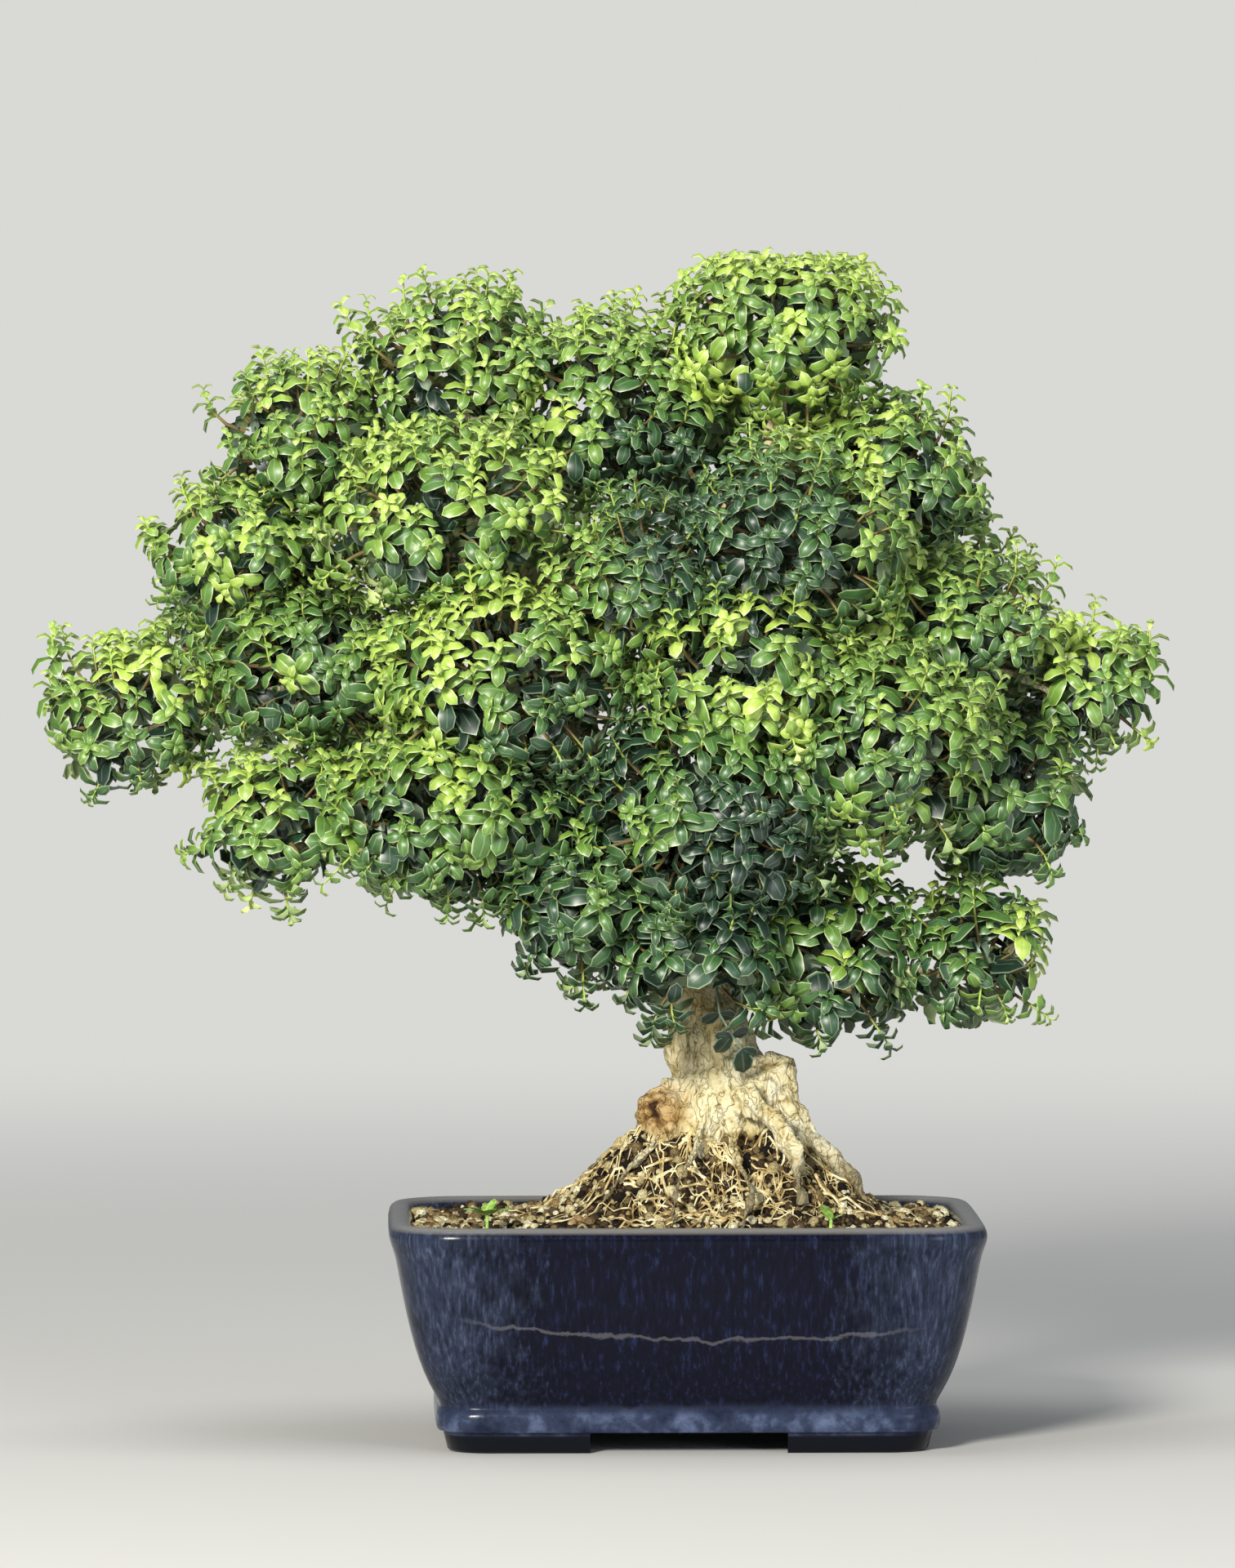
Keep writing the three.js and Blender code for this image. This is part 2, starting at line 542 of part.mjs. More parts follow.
function makeSeedling(seedling) {
  const top = vector([...seedling.at, soilHeight(...seedling.at) + seedling.height]);
  const frame = (angle, out, up) => {
    return top.clone().add(vector([Math.cos(angle) * out, Math.sin(angle) * out, up]));
  };
  const blades = rosette(frame, SEEDLING_SPIN, seedling.size, { leaves: seedling.leaves });
  return oneBody(makeStem(seedling).add(blades));
}

// The object
const tree = new THREE.Group();

function addPiece(name, solid, colour, roughness) {
  const material = new THREE.MeshStandardMaterial({ color: colour, roughness, metalness: 0 });
  const mesh = new THREE.Mesh(geometryOf(solid), material);
  mesh.name = name;
  tree.add(mesh);
}

const wood = oneBody(makeWood(0));
const woodAround = makeWood(GAP);
let soil = makeSoil().subtract(woodAround);
for (const side of [-1, 1]) soil = soil.subtract(makeScreen(side, GAP));
for (const seedling of SEEDLINGS) {
  soil = soil.subtract(makeStem(seedling, GAP));
  addPiece(seedling.name, makeSeedling(seedling), 0x9ccc4a, 0.5);
}
addPiece("pot", makePot(), 0x14183a, 0.15);
addPiece("drain_screen_left", makeScreen(-1), 0x1c1c1c, 0.6);
addPiece("drain_screen_right", makeScreen(1), 0x1c1c1c, 0.6);
addPiece("soil", oneBody(soil), 0x6b5a45, 0.95);
addPiece("wood", wood, 0xd9c9a0, 0.85);
makeFoliage(woodAround).forEach((solid, k) => addPiece(`foliage_${PADS[k].name}`, solid, 0x4f8f3a, 0.4));

// The origin is under the middle of the whole object, on the surface that it stands on.
const bounds = new THREE.Box3().setFromObject(tree);
tree.position.set(-(bounds.min.x + bounds.max.x) / 2, -(bounds.min.y + bounds.max.y) / 2, -bounds.min.z);

export default tree;
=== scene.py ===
import json
import math
from contextlib import contextmanager
from functools import partial

import bmesh
import bpy
import numpy as np
from mathutils import Matrix, Vector, noise

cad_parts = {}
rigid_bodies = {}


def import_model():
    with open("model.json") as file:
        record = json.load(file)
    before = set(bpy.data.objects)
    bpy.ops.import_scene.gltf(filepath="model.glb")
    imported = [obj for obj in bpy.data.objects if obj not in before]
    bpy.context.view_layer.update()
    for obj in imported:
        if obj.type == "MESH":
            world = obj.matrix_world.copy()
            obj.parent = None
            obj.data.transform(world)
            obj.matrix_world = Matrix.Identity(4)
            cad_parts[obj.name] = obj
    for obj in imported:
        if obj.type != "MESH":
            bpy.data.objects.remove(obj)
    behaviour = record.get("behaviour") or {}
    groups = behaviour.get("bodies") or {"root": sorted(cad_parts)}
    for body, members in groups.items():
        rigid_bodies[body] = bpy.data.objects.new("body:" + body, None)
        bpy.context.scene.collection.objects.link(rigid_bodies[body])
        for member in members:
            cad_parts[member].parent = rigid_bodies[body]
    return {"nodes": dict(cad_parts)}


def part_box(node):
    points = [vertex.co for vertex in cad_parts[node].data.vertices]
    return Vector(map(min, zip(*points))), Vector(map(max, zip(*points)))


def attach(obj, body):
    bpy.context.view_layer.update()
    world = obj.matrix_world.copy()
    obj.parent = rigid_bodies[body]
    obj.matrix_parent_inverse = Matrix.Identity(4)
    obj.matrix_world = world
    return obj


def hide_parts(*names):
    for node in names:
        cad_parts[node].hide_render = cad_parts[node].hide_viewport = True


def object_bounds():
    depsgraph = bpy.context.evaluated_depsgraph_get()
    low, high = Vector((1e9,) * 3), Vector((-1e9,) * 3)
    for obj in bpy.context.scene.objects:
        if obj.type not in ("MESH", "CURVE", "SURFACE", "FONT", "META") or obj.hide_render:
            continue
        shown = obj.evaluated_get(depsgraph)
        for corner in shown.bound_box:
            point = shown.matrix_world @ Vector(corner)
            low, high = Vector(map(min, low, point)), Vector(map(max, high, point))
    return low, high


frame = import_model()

cad_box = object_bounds()

# The pot
# A rounded rectangle of stoneware on a foot band and four corner feet, pressed in a mould and fired.
# Its thick dark blue glaze broke to violet blue at the corners, and ran down to a paler foot band.
MM = 0.001
CORNER = 19  # outside corner radius at the rim, mm
CORNER_SHRINK = 0.6  # how much tighter a corner gets for each mm of inset
TIGHTEST_CORNER = 6
CORNER_STEPS = 6
FOOT_HEIGHT = 5
FLOOR_TOP = 11.5
# (height, inset from the rim's outline), up the outside and down the inside, mm
POT_OUTSIDE = [
    (FOOT_HEIGHT, 13.6), (5.4, 12.4), (6.6, 11.9), (8.6, 11.8), (10.4, 12), (11.3, 12.9), (12.4, 12.9),
    (15, 11.3), (20, 8.7), (27, 6.3), (34, 4.6), (42, 3), (49, 1.8), (51.6, 0.9), (53.4, 0.2), (55.4, 0),
    (57.2, 0.7), (58, 2.4),
]
POT_INSIDE = [(58, 4.2), (57, 5.8), (54, 7), (40, 9.4), (24, 11.8), (14, 15), (FLOOR_TOP, 17.5)]
FOOT_INSET = 15  # of the feet's outline at the ground
FOOT_FLARE = 1.2
FOOT_WIDTH = 9
FOOT_BITE = 0.6  # how far the feet start inside the body
WORN_IN, WORN_UP = 0.8, 0.7  # the worn edge round the feet's undersides
FOOT_SLOTS = [(50, 160), (180, 40)]  # the openings between the feet
DRAIN_RADIUS = 7
DRAIN_X = 32
DRAIN_SIDES = 40
TIDE_HEIGHT = 31.8  # of a faint line across the front, with the pattern's waver in it
TIDE_LOWEST = 8.0  # where along the front it hangs lowest

pot_low, pot_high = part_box("pot")
POT_WIDTH = (pot_high.x - pot_low.x) / MM
POT_DEPTH = (pot_high.y - pot_low.y) / MM
pot_middle = Vector(((pot_low.x + pot_high.x) / 2, (pot_low.y + pot_high.y) / 2, 0))
in_scene = bpy.context.scene.collection.objects


def on_pot(x, y, z):
    """A place measured in mm from under the pot's middle, as a point in the shared frame."""
    return pot_middle + Vector((x, y, z)) * MM


def pot_ring(height, inset, steps=CORNER_STEPS):
    """The pot's outline at a height, drawn in by an inset, as points round the four corners."""
    radius = max(CORNER - inset * CORNER_SHRINK, TIGHTEST_CORNER)
    half_x, half_y = POT_WIDTH / 2 - inset - radius, POT_DEPTH / 2 - inset - radius
    ring = []
    for corner, (side_x, side_y) in enumerate([(1, 1), (-1, 1), (-1, -1), (1, -1)]):
        for i in range(steps + 1):
            angle = (corner + i / steps) * math.pi / 2
            x = side_x * half_x + radius * math.cos(angle)
            y = side_y * half_y + radius * math.sin(angle)
            ring.append(on_pot(x, y, height))
    return ring


def circle(middle, radius, count):
    """Points round a place, level with it."""
    turns = [2 * math.pi * i / count for i in range(count)]
    return [middle + Vector((math.cos(a), math.sin(a), 0)) * radius for a in turns]


def new_piece(name, points=(), faces=(), smooth=True):
    mesh = bpy.data.meshes.new(name)
    mesh.from_pydata([tuple(p) for p in points], [], faces)
    mesh.shade_smooth() if smooth else mesh.shade_flat()
    piece = bpy.data.objects.new(name, mesh)
    in_scene.link(piece)
    return piece


def loft(name, rings, closed=False):
    """A mesh through rings of points. Its ends are closed with one face each, or joined to each other."""
    count = len(rings[0])
    faces = []
    for r in range(len(rings) if closed else len(rings) - 1):
        low, high = r * count, (r + 1) % len(rings) * count
        for i in range(count):
            j = (i + 1) % count
            faces.append((low + i, low + j, high + j, high + i))
    if not closed:
        faces.append(tuple(reversed(range(count))))
        faces.append(tuple(range((len(rings) - 1) * count, len(rings) * count)))
    return new_piece(name, [p for ring in rings for p in ring], faces)


def keep_modifiers(piece):
    """Turns a piece with modifiers into the plain mesh that they make."""
    graph = bpy.context.evaluated_depsgraph_get()
    mesh = bpy.data.meshes.new_from_object(piece.evaluated_get(graph))
    piece.modifiers.clear()
    piece.data = mesh


def cut(piece, tool, operation):
    """Joins a closed mesh to a piece, or cuts it away, and removes the tool."""
    modifier = piece.modifiers.new("cut", "BOOLEAN")
    modifier.object = tool
    modifier.operation = operation
    modifier.solver = "EXACT"
    keep_modifiers(piece)
    bpy.data.objects.remove(tool)


@contextmanager
def opened(mesh, source=None):
    """A mesh, or the source that it is made from, open for changes."""
    work = bmesh.new()
    work.from_mesh(source or mesh)
    yield work
    work.to_mesh(mesh)
    work.free()


def sharpen(piece, degrees):
    """Marks the edges sharp where two faces meet at more than this angle."""
    with opened(piece.data) as work:
        for edge in work.edges:
            edge.smooth = len(edge.link_faces) == 2 and edge.calc_face_angle(0) < math.radians(degrees)


def linear(hex_colour):
    """A #rrggbb colour as linear RGBA."""
    parts = [int(hex_colour[i:i + 2], 16) / 255 for i in (1, 3, 5)]
    return tuple(c / 12.92 if c <= 0.04045 else ((c + 0.055) / 1.055) ** 2.4 for c in parts) + (1.0,)


def add(tree, kind, *values, out=0, stops=(), **named):
    """Adds a node with its values, links, settings and colour stops, and returns one of its outputs.

    A kind is a node type without its family's name, and its operation or data type may follow a dot. Values
    fill the inputs in order, or as a dict says. A capitalised name is an input's, and any other a setting's.
    With out=None the node itself is returned.
    """
    kind, _, mode = kind.partition(".")
    family = next(f for f in ("GeometryNode", "FunctionNode", "ShaderNode") if hasattr(bpy.types, f + kind))
    node = tree.nodes.new(family + kind)
    if mode:
        setattr(node, "operation" if hasattr(node, "operation") else "data_type", mode)
    inputs = values[0] if values and isinstance(values[0], dict) else dict(enumerate(values))
    for name, value in named.items():
        if name[0].isupper():
            inputs[name.replace("_", " ")] = value
        else:
            setattr(node, name, value)
    for key, value in inputs.items():
        if isinstance(value, bpy.types.NodeSocket):
            tree.links.new(value, node.inputs[key])
        else:
            node.inputs[key].default_value = value
    for index, (place, colour) in enumerate(stops):
        elements = node.color_ramp.elements
        element = elements[index] if index < len(elements) else elements.new(place)
        element.position, element.color = place, linear(colour)
    return node if out is None else node.outputs[out]


def new_material(name, **surface):
    """A material whose Principled shader has these even values, and its way to add nodes."""
    material = bpy.data.materials.new(name)
    material.use_nodes = True
    for key, value in surface.items():
        material.node_tree.nodes["Principled BSDF"].inputs[key.replace("_", " ")].default_value = value
    return material, partial(add, material.node_tree)


def drive(material, **sockets):
    """Links outputs to the inputs of a material's shader, and returns the material."""
    tree = material.node_tree
    for key, socket in sockets.items():
        tree.links.new(socket, tree.nodes["Principled BSDF"].inputs[key.replace("_", " ")])
    return material


def glaze():
    # Reduction-fired blue glaze over dark stoneware: thick, glassy and almost black where it lies deep, and
    # paler where it ran thin. The eye sees sharp soft-box reflections over faint vertical runs 1 mm wide.
    material, n = new_material("dark_blue_stoneware_glaze", Specular_IOR_Level=0.16)
    spot = n("TexCoord", out="Object")
    place = n("Mapping", Vector=spot, Location=-pot_middle / MM, Scale=(1000, 1000, 1000))
    drawn = n("Mapping", Vector=spot, Location=-pot_middle / MM, Scale=(1000, 1000, 60))
    runs = n("TexNoise", Vector=drawn, Scale=1 / 1.1, Detail=6.0, Roughness=0.65)
    mottle = n("TexNoise", Vector=place, Scale=1 / 7, Detail=7.0, Roughness=0.62)
    speck = n("TexNoise", Vector=place, Scale=1 / 0.7, Detail=2.0)
    x, y, z = n("SeparateXYZ", place, out=None).outputs
    near_x = n("Math.ABSOLUTE", n("Math.MULTIPLY", x, 2 / POT_WIDTH))
    near_y = n("Math.ABSOLUTE", n("Math.MULTIPLY", y, 2 / POT_DEPTH))
    patchy = n("Math.MULTIPLY_ADD", mottle, 0.7, n("Math.MINIMUM", near_x, near_y))
    corner = n("MapRange", n("Math.MULTIPLY_ADD", runs, 0.35, patchy), 1.02, 1.6)
    band_edge = n("Math.MULTIPLY_ADD", mottle, 6.0, z)
    band = n("MapRange", band_edge, 16.5, 12.5, interpolation_type="SMOOTHSTEP")
    deep = n("ValToRGB", runs, stops=[(0.3, "#05060f"), (0.55, "#0b0e20"), (0.75, "#222a4a")])
    streaked = n("ValToRGB", runs, stops=[(0.25, "#1c2236"), (0.52, "#353e54"), (0.78, "#5c6780")])
    thin = n("ValToRGB", mottle, stops=[(0.3, "#181e32"), (0.5, "#2e374e"), (0.68, "#566280")])
    # The pale grey at the lip is partly thin, worn glaze and partly a painted sheen of reflections.
    rim_wear_and_sheen = n("MapRange", z, 56.3, 57.6, 0.0, 0.7)
    # Below the foot band the feet turn near black: painted shade under the pot, where it stands.
    foot_shade = n("MapRange", z, 5.4, 4.2)
    # A thin grey tide line, low in the middle, wanders across the front wall.
    aside = n("Math.POWER", n("Math.SUBTRACT", x, TIDE_LOWEST), 2.0)
    sag = n("Math.MULTIPLY_ADD", aside, -0.0012, z)
    waver = n("Math.MULTIPLY_ADD", mottle, 5.0, sag)
    tide = n("MapRange", n("Math.ABSOLUTE", n("Math.SUBTRACT", waver, TIDE_HEIGHT)), 0.2, 0.6, 0.36, 0.0)
    for within in (n("MapRange", y, -42.0, -45.0), n("MapRange", near_x, 0.8, 0.6)):
        tide = n("Math.MULTIPLY", tide, within)
    colour = deep
    for share, over in ((corner, streaked), (band, thin), (rim_wear_and_sheen, linear("#94938f")),
                        (foot_shade, linear("#0d0f18")), (tide, linear("#6f6f74"))):
        colour = n("Mix.RGBA", {0: share, 6: colour, 7: over}, out=2)
    rough = n("MapRange", speck, 0.3, 0.75, 0.12, 0.3)
    bump = n("Bump", Strength=0.12, Distance=0.25 * MM, Height=mottle)
    return drive(material, Base_Color=colour, Roughness=rough, Normal=bump)


def finish_piece(piece, material, slot, *nodes):
    """Gives a piece its finish, and its place in the frame."""
    piece.data.materials.clear()
    piece.data.materials.append(material)
    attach(piece, "root")
    if nodes:
        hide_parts(*nodes)
    return piece


def make_pot():
    pot = loft("glazed_pot", [pot_ring(z, inset) for z, inset in POT_OUTSIDE + POT_INSIDE])
    rounding = pot.modifiers.new("round", "SUBSURF")
    rounding.levels = rounding.render_levels = 1
    keep_modifiers(pot)
    top, inner = FOOT_HEIGHT + FOOT_BITE, FOOT_INSET + FOOT_WIDTH
    feet = loft("feet", [pot_ring(z, inset) for z, inset in (
        (0, FOOT_INSET + WORN_IN), (WORN_UP, FOOT_INSET), (top, FOOT_INSET - FOOT_FLARE),
        (top, inner - FOOT_FLARE), (WORN_UP, inner), (0, inner - WORN_IN))], closed=True)
    for size_x, size_y in FOOT_SLOTS:
        x, y = size_x / 2, size_y / 2
        plan = [(-x, -y), (x, -y), (x, y), (-x, y)]
        cut(feet, loft("slot", [[on_pot(*p, z) for p in plan] for z in (-1, 9)]), "DIFFERENCE")
    cut(pot, feet, "UNION")
    for side in (-1, 1):
        drain = [circle(on_pot(side * DRAIN_X, 0, z), DRAIN_RADIUS * MM, DRAIN_SIDES) for z in (-1, 20)]
        cut(pot, loft("drain", drain), "DIFFERENCE")
    pot.data.shade_smooth()
    sharpen(pot, 40)
    finish_piece(pot, glaze(), "glazed_stoneware", "pot")


make_pot()

# The drainage screens
# Two squares of black moulded polyethylene mesh, laid loose over the drain holes inside the pot, so that
# the soil stays in. They are the model's own nodes, and only get their finish here.


def flecked(name, size, stops, **surface):
    """A material whose colour changes in flecks of this size in mm."""
    material, n = new_material(name, **surface)
    flecks = n("TexNoise", Vector=n("TexCoord", out="Object"), Scale=1 / (size * MM))
    return drive(material, Base_Color=n("ValToRGB", flecks, stops=stops))


# Moulded polyethylene: matt, slightly waxy, with a film of dust from the soil in 2.5 mm patches.
screen_finish = flecked("moulded_mesh_plastic", 2.5, [(0.4, "#191919"), (0.7, "#3a352c")],
                        Roughness=0.55, IOR=1.51)
for name in ("drain_screen_left", "drain_screen_right"):
    frame["nodes"][name].data.materials.clear()
    frame["nodes"][name].data.materials.append(screen_finish)

# The soil
# A bonsai mix of pumice, lava and fired clay, 1 to 4 mm in grain. It fills the pot and was heaped towards
# the trunk, where years of fine roots hold it in a mound.
SOIL_EDGE = 55.2  # soil level at the pot's wall, mm
MOUND_HEIGHT = 28.8
MOUND_CENTRE = (8, 0)
MOUND_REACH = 36
MOUND_STEEPNESS = 2.6
FRONT_HEAP = (1, -23)  # soil heaped over the roots in front
FRONT_HEIGHT = 7
FRONT_REACH = (17, 12)
SOIL_RINGS = 46
SOIL_CLEARANCE = 0.35
SOIL_WALL = [(FLOOR_TOP + SOIL_CLEARANCE, 17.5), (14, 15), (24, 11.8), (40, 9.4), (SOIL_EDGE - 1, 7.1)]


def soil_height(x, y):
    away = math.hypot(x - MOUND_CENTRE[0], y - MOUND_CENTRE[1]) / MOUND_REACH
    lumps = 1.1 * noise.noise((x / 11, y / 11, 3.1)) + 0.7 * noise.noise((x / 4, y / 4, 8.7))
    crumbs = 0.5 * noise.noise((x / 1.8, y / 1.8, 5.2))
    aside, before = (x - FRONT_HEAP[0]) / FRONT_REACH[0], (y - FRONT_HEAP[1]) / FRONT_REACH[1]
    heap = FRONT_HEIGHT * math.exp(-aside ** 2 - before ** 2)
    return SOIL_EDGE + MOUND_HEIGHT * math.exp(-away ** MOUND_STEEPNESS) + heap + lumps + crumbs


def soil_mix():
    # Damp fine soil between the grains: 1 mm crumbs, dark brown, without any gloss.
    material, n = new_material("damp_soil", Roughness=0.95, Specular_IOR_Level=0.2)
    crumbs = n("TexNoise", Vector=n("TexCoord", out="Object"), Scale=1 / (1.1 * MM), Detail=8.0)
    colour = n("ValToRGB", crumbs, stops=[(0.35, "#120d07"), (0.52, "#33271a"), (0.68, "#7a6848")])
    bump = n("Bump", Strength=0.8, Distance=0.6 * MM, Height=crumbs)
    return drive(material, Base_Color=colour, Normal=bump)


def make_soil():
    rings = [pot_ring(z, inset + SOIL_CLEARANCE, 14) for z, inset in SOIL_WALL]
    rim = [((p - pot_middle) / MM) for p in rings[-1]]
    for k in range(SOIL_RINGS):
        share = 1 - k / SOIL_RINGS
        ring = []
        for p in rim:
            x = MOUND_CENTRE[0] + (p.x - MOUND_CENTRE[0]) * share
            y = MOUND_CENTRE[1] + (p.y - MOUND_CENTRE[1]) * share
            ring.append(on_pot(x, y, soil_height(x, y)))
        rings.append(ring)
    return finish_piece(loft("soil_mound", rings), soil_mix(), "soil", "soil")


soil_piece = make_soil()

# The wood
# One grown piece: surface roots, a swollen base with a burl and an old cut, and the trunk with its leaders
# and branches. Old boxwood bark is pale, finely pebbled and wrinkled, and soil darkens it near the ground.
TRUNK_TOP = 135  # height where the visible trunk ends among the leaves, mm
OVERLAP = 4  # how much lower the branches' own piece starts
TRUNK_GRAIN = 0.7  # size of the trunk's faces
BRANCH_GRAIN = 1.6
BURL, BURL_RADIUS = Vector((-8, -14, 85)), 10  # on the left of the base
# The hole's darkness is painted shade, given through the bark's crease colour.
HOLLOW, HOLLOW_RADIUS = Vector((17, -21, 77)), 5  # the dark hole under the arching root
SHOULDER, SHOULDER_RADIUS = Vector((25, -4, 95)), 8  # the flat old cut on the right of the base


def keep_side(mesh, height, above):
    """Cuts a closed mesh level at a height in mm, keeps one side, and closes the cut."""
    with opened(mesh) as work:
        everything = work.verts[:] + work.edges[:] + work.faces[:]
        made = bmesh.ops.bisect_plane(work, geom=everything, plane_co=(0, 0, height * MM),
                                      plane_no=(0, 0, 1), clear_inner=above, clear_outer=not above)
        rim = [e for e in made["geom_cut"] if isinstance(e, bmesh.types.BMEdge)]
        bmesh.ops.holes_fill(work, edges=rim, sides=0)
        bmesh.ops.recalc_face_normals(work, faces=work.faces)


def remesh(piece, grain, smoothing):
    """Gives a piece an even skin of small faces, and rounds it."""
    even = piece.modifiers.new("even", "REMESH")
    even.mode = "VOXEL"
    even.voxel_size = grain * MM
    rounded = piece.modifiers.new("rounded", "SMOOTH")
    rounded.factor = 0.5
    rounded.iterations = smoothing
    keep_modifiers(piece)
    piece.data.shade_smooth()


def bark_relief(place):
    """How far the bark stands out at a place in mm, and how far it lies in a crease, from 0 to 1."""
    upright = Vector((place.x, place.y, place.z * 0.5))
    lumps = 1.5 * noise.noise(place / 8) + 0.8 * noise.noise(place / 3.3)
    groove = min(abs(noise.noise(upright / 4.5 + Vector((9, 4, 2)))) * 12, 1)
    pebble = min(noise.voronoi(upright / 1.3)[0][0], 1)
    whorl = noise.noise((place.x / 3, place.y / 3, place.z / 2))
    burl, hollow, shoulder = [max(0, 1 - (place - middle).length / radius) for middle, radius in (
        (BURL, BURL_RADIUS), (HOLLOW, HOLLOW_RADIUS), (SHOULDER, SHOULDER_RADIUS))]
    # The front and left roots are half buried, thinner than those on the right.
    buried = min(max((83 - place.z) / 6, 0), 1) * min(max((17 - place.x) / 4, 0), 1)
    height = lumps + 0.35 * groove - 0.5 * pebble + burl * (1.2 + 2 * whorl) + 4 * shoulder
    height -= 2.5 * hollow + 1.3 * buried
    fine = max(0.4 * (1 - groove), 0.5 * max(0, pebble - 0.5))
    # The hollow counts as the deepest crease, so the bark's colour paints shade into it.
    return height, max(fine, burl * (0.2 - 1.5 * whorl), min(1, 2 * hollow))


def wrinkle(mesh, strength):
    """Gives a mesh its bark relief, and stores how deep its creases are."""
    count = len(mesh.vertices)
    points, normals = np.empty(count * 3), np.empty(count * 3)
    mesh.vertices.foreach_get("co", points)
    mesh.vertex_normals.foreach_get("vector", normals)
    points, normals = points.reshape(-1, 3), normals.reshape(-1, 3)
    relief = np.array([bark_relief(Vector(p)) for p in (points - np.array(pot_middle)) / MM])
    points += normals * relief[:, :1] * strength * MM
    mesh.vertices.foreach_set("co", points.ravel())
    mesh.attributes.new("crease", "FLOAT", "POINT").data.foreach_set("value", relief[:, 1].copy())
    mesh.update()


def bark():
    # Old boxwood bark: dry, pale cream and corky, matt, with brown in its creases and an orange burl. The
    # grain is 1.1 mm, the pebbles are 1 mm, the cracks lie 3.2 mm apart, and the tint changes over 10 mm.
    material, n = new_material("old_boxwood_bark", Roughness=0.85, Specular_IOR_Level=0.3)
    spot = n("TexCoord", out="Object")
    place = n("Mapping", Vector=spot, Location=-pot_middle / MM, Scale=(1000, 1000, 1000))
    drawn = n("Mapping", Vector=spot, Location=-pot_middle / MM, Scale=(1000, 1000, 450))
    broad = n("TexNoise", Vector=place, Scale=1 / 10, Detail=4.0)
    grain = n("TexNoise", Vector=place, Scale=1 / 1.1, Detail=6.0)
    pebbles = n("TexVoronoi", Vector=place, Scale=1.0, out="Distance")
    folds = n("TexNoise", Vector=drawn, Scale=1 / 3.2, Detail=3.0, Distortion=0.8)
    off_fold = n("Math.ABSOLUTE", n("Math.SUBTRACT", folds, 0.5))
    crack = n("MapRange", off_fold, 0.0, 0.028, 0.2, 0.0)
    # Creases turn brown, and the hollow under the arching root turns darkest, which is painted shade.
    crease = n("Math.ADD", crack, n("Attribute", out="Fac", attribute_name="crease"))
    deep = n("Math.MULTIPLY_ADD", grain, 0.6, crease)
    skin = n("ValToRGB", deep, stops=[
        (0.28, "#e0dcc2"), (0.45, "#d0c9a6"), (0.62, "#a99b72"), (0.85, "#715e3d"), (1.0, "#42331e")])
    tint = n("ValToRGB", broad, stops=[(0.35, "#e6d3a2"), (0.5, "#fff8e2"), (0.65, "#ffffff")])
    burl = n("MapRange", n("VectorMath.DISTANCE", place, BURL, out="Value"), 10.5, 5.0, 0.0, 0.6)
    dirt_edge = n("Math.MULTIPLY_ADD", grain, 16.0, n("SeparateXYZ", place, out=2))
    dirt = n("MapRange", dirt_edge, 84.0, 76.0, 0.0, 0.7)
    colour = skin
    for share, over, blend in ((0.8, tint, "MULTIPLY"), (burl, linear("#c9974f"), "MULTIPLY"),
                               (dirt, linear("#4d3f28"), "MIX")):
        colour = n("Mix.RGBA", {0: share, 6: colour, 7: over}, out=2, blend_type=blend)
    fine = n("Math.MULTIPLY_ADD", pebbles, -0.7, grain)
    folded = n("Math.MULTIPLY_ADD", crack, -4.0, fine)
    bump = n("Bump", Strength=0.9, Distance=0.5 * MM, Height=folded)
    return drive(material, Base_Color=colour, Normal=bump)


bark_finish = bark()


def make_wood(name, height, above, grain, smoothing, strength):
    """The wood above or below a height, from a merged copy of its node."""
    piece = new_piece(name)
    with opened(piece.data, frame["nodes"]["wood"].data) as work:
        bmesh.ops.remove_doubles(work, verts=work.verts, dist=0.01 * MM)
    keep_side(piece.data, height, above)
    remesh(piece, grain, smoothing)
    wrinkle(piece.data, strength)
    return piece


trunk = make_wood("trunk_and_roots", TRUNK_TOP, above=False, grain=TRUNK_GRAIN, smoothing=6, strength=1)
finish_piece(trunk, bark_finish, "bark", "wood")
branches = make_wood("leaders_and_branches", TRUNK_TOP - OVERLAP, above=True, grain=BRANCH_GRAIN,
                     smoothing=2, strength=0.3)
finish_piece(branches, bark_finish, "bark")

# The grains on the soil
# Loose pumice, lava and baked clay, 1 to 4 mm across, pale, brown and near black, with dry bits. They were
# strewn over the mix, and lie there by their own weight.
GRAIN_SPACING = 1.9
GRAIN_SIZES = (0.7, 2.2)  # half widths, mm
DARK_WITHIN, PALE_BEYOND = 26, 42  # mm from the mound's middle


def new_tree(name, **inputs):
    """A Geometry Nodes tree with a geometry in and out, its named inputs, and its way to add nodes."""
    tree = bpy.data.node_groups.new(name, "GeometryNodeTree")
    for way in ("INPUT", "OUTPUT"):
        tree.interface.new_socket("Geometry", in_out=way, socket_type="NodeSocketGeometry")
    for title, kind in inputs.items():
        tree.interface.new_socket(title, in_out="INPUT", socket_type="NodeSocket" + kind)
    return tree, tree.nodes.new("NodeGroupInput").outputs, partial(add, tree)


def end_tree(tree, n, geometry, material):
    """Ends a tree in plain geometry with its material."""
    done = n("SetMaterial", Geometry=n("RealizeInstances", geometry), Material=material)
    tree.links.new(done, tree.nodes.new("NodeGroupOutput").inputs[0])
    return tree


def run_tree(tree, name, mesh, **values):
    """Runs a tree on a mesh with these values, and returns what it makes as a plain mesh object."""
    host = bpy.data.objects.new("host", mesh)
    in_scene.link(host)
    modifier = host.modifiers.new("tree", "NODES")
    modifier.node_group = tree
    for item in tree.interface.items_tree:
        if item.in_out == "INPUT" and item.name in values:
            modifier[item.identifier] = values[item.name]
    graph = bpy.context.evaluated_depsgraph_get()
    made = bpy.data.objects.new(name, bpy.data.meshes.new_from_object(host.evaluated_get(graph)))
    in_scene.link(made)
    bpy.data.objects.remove(host)
    return made


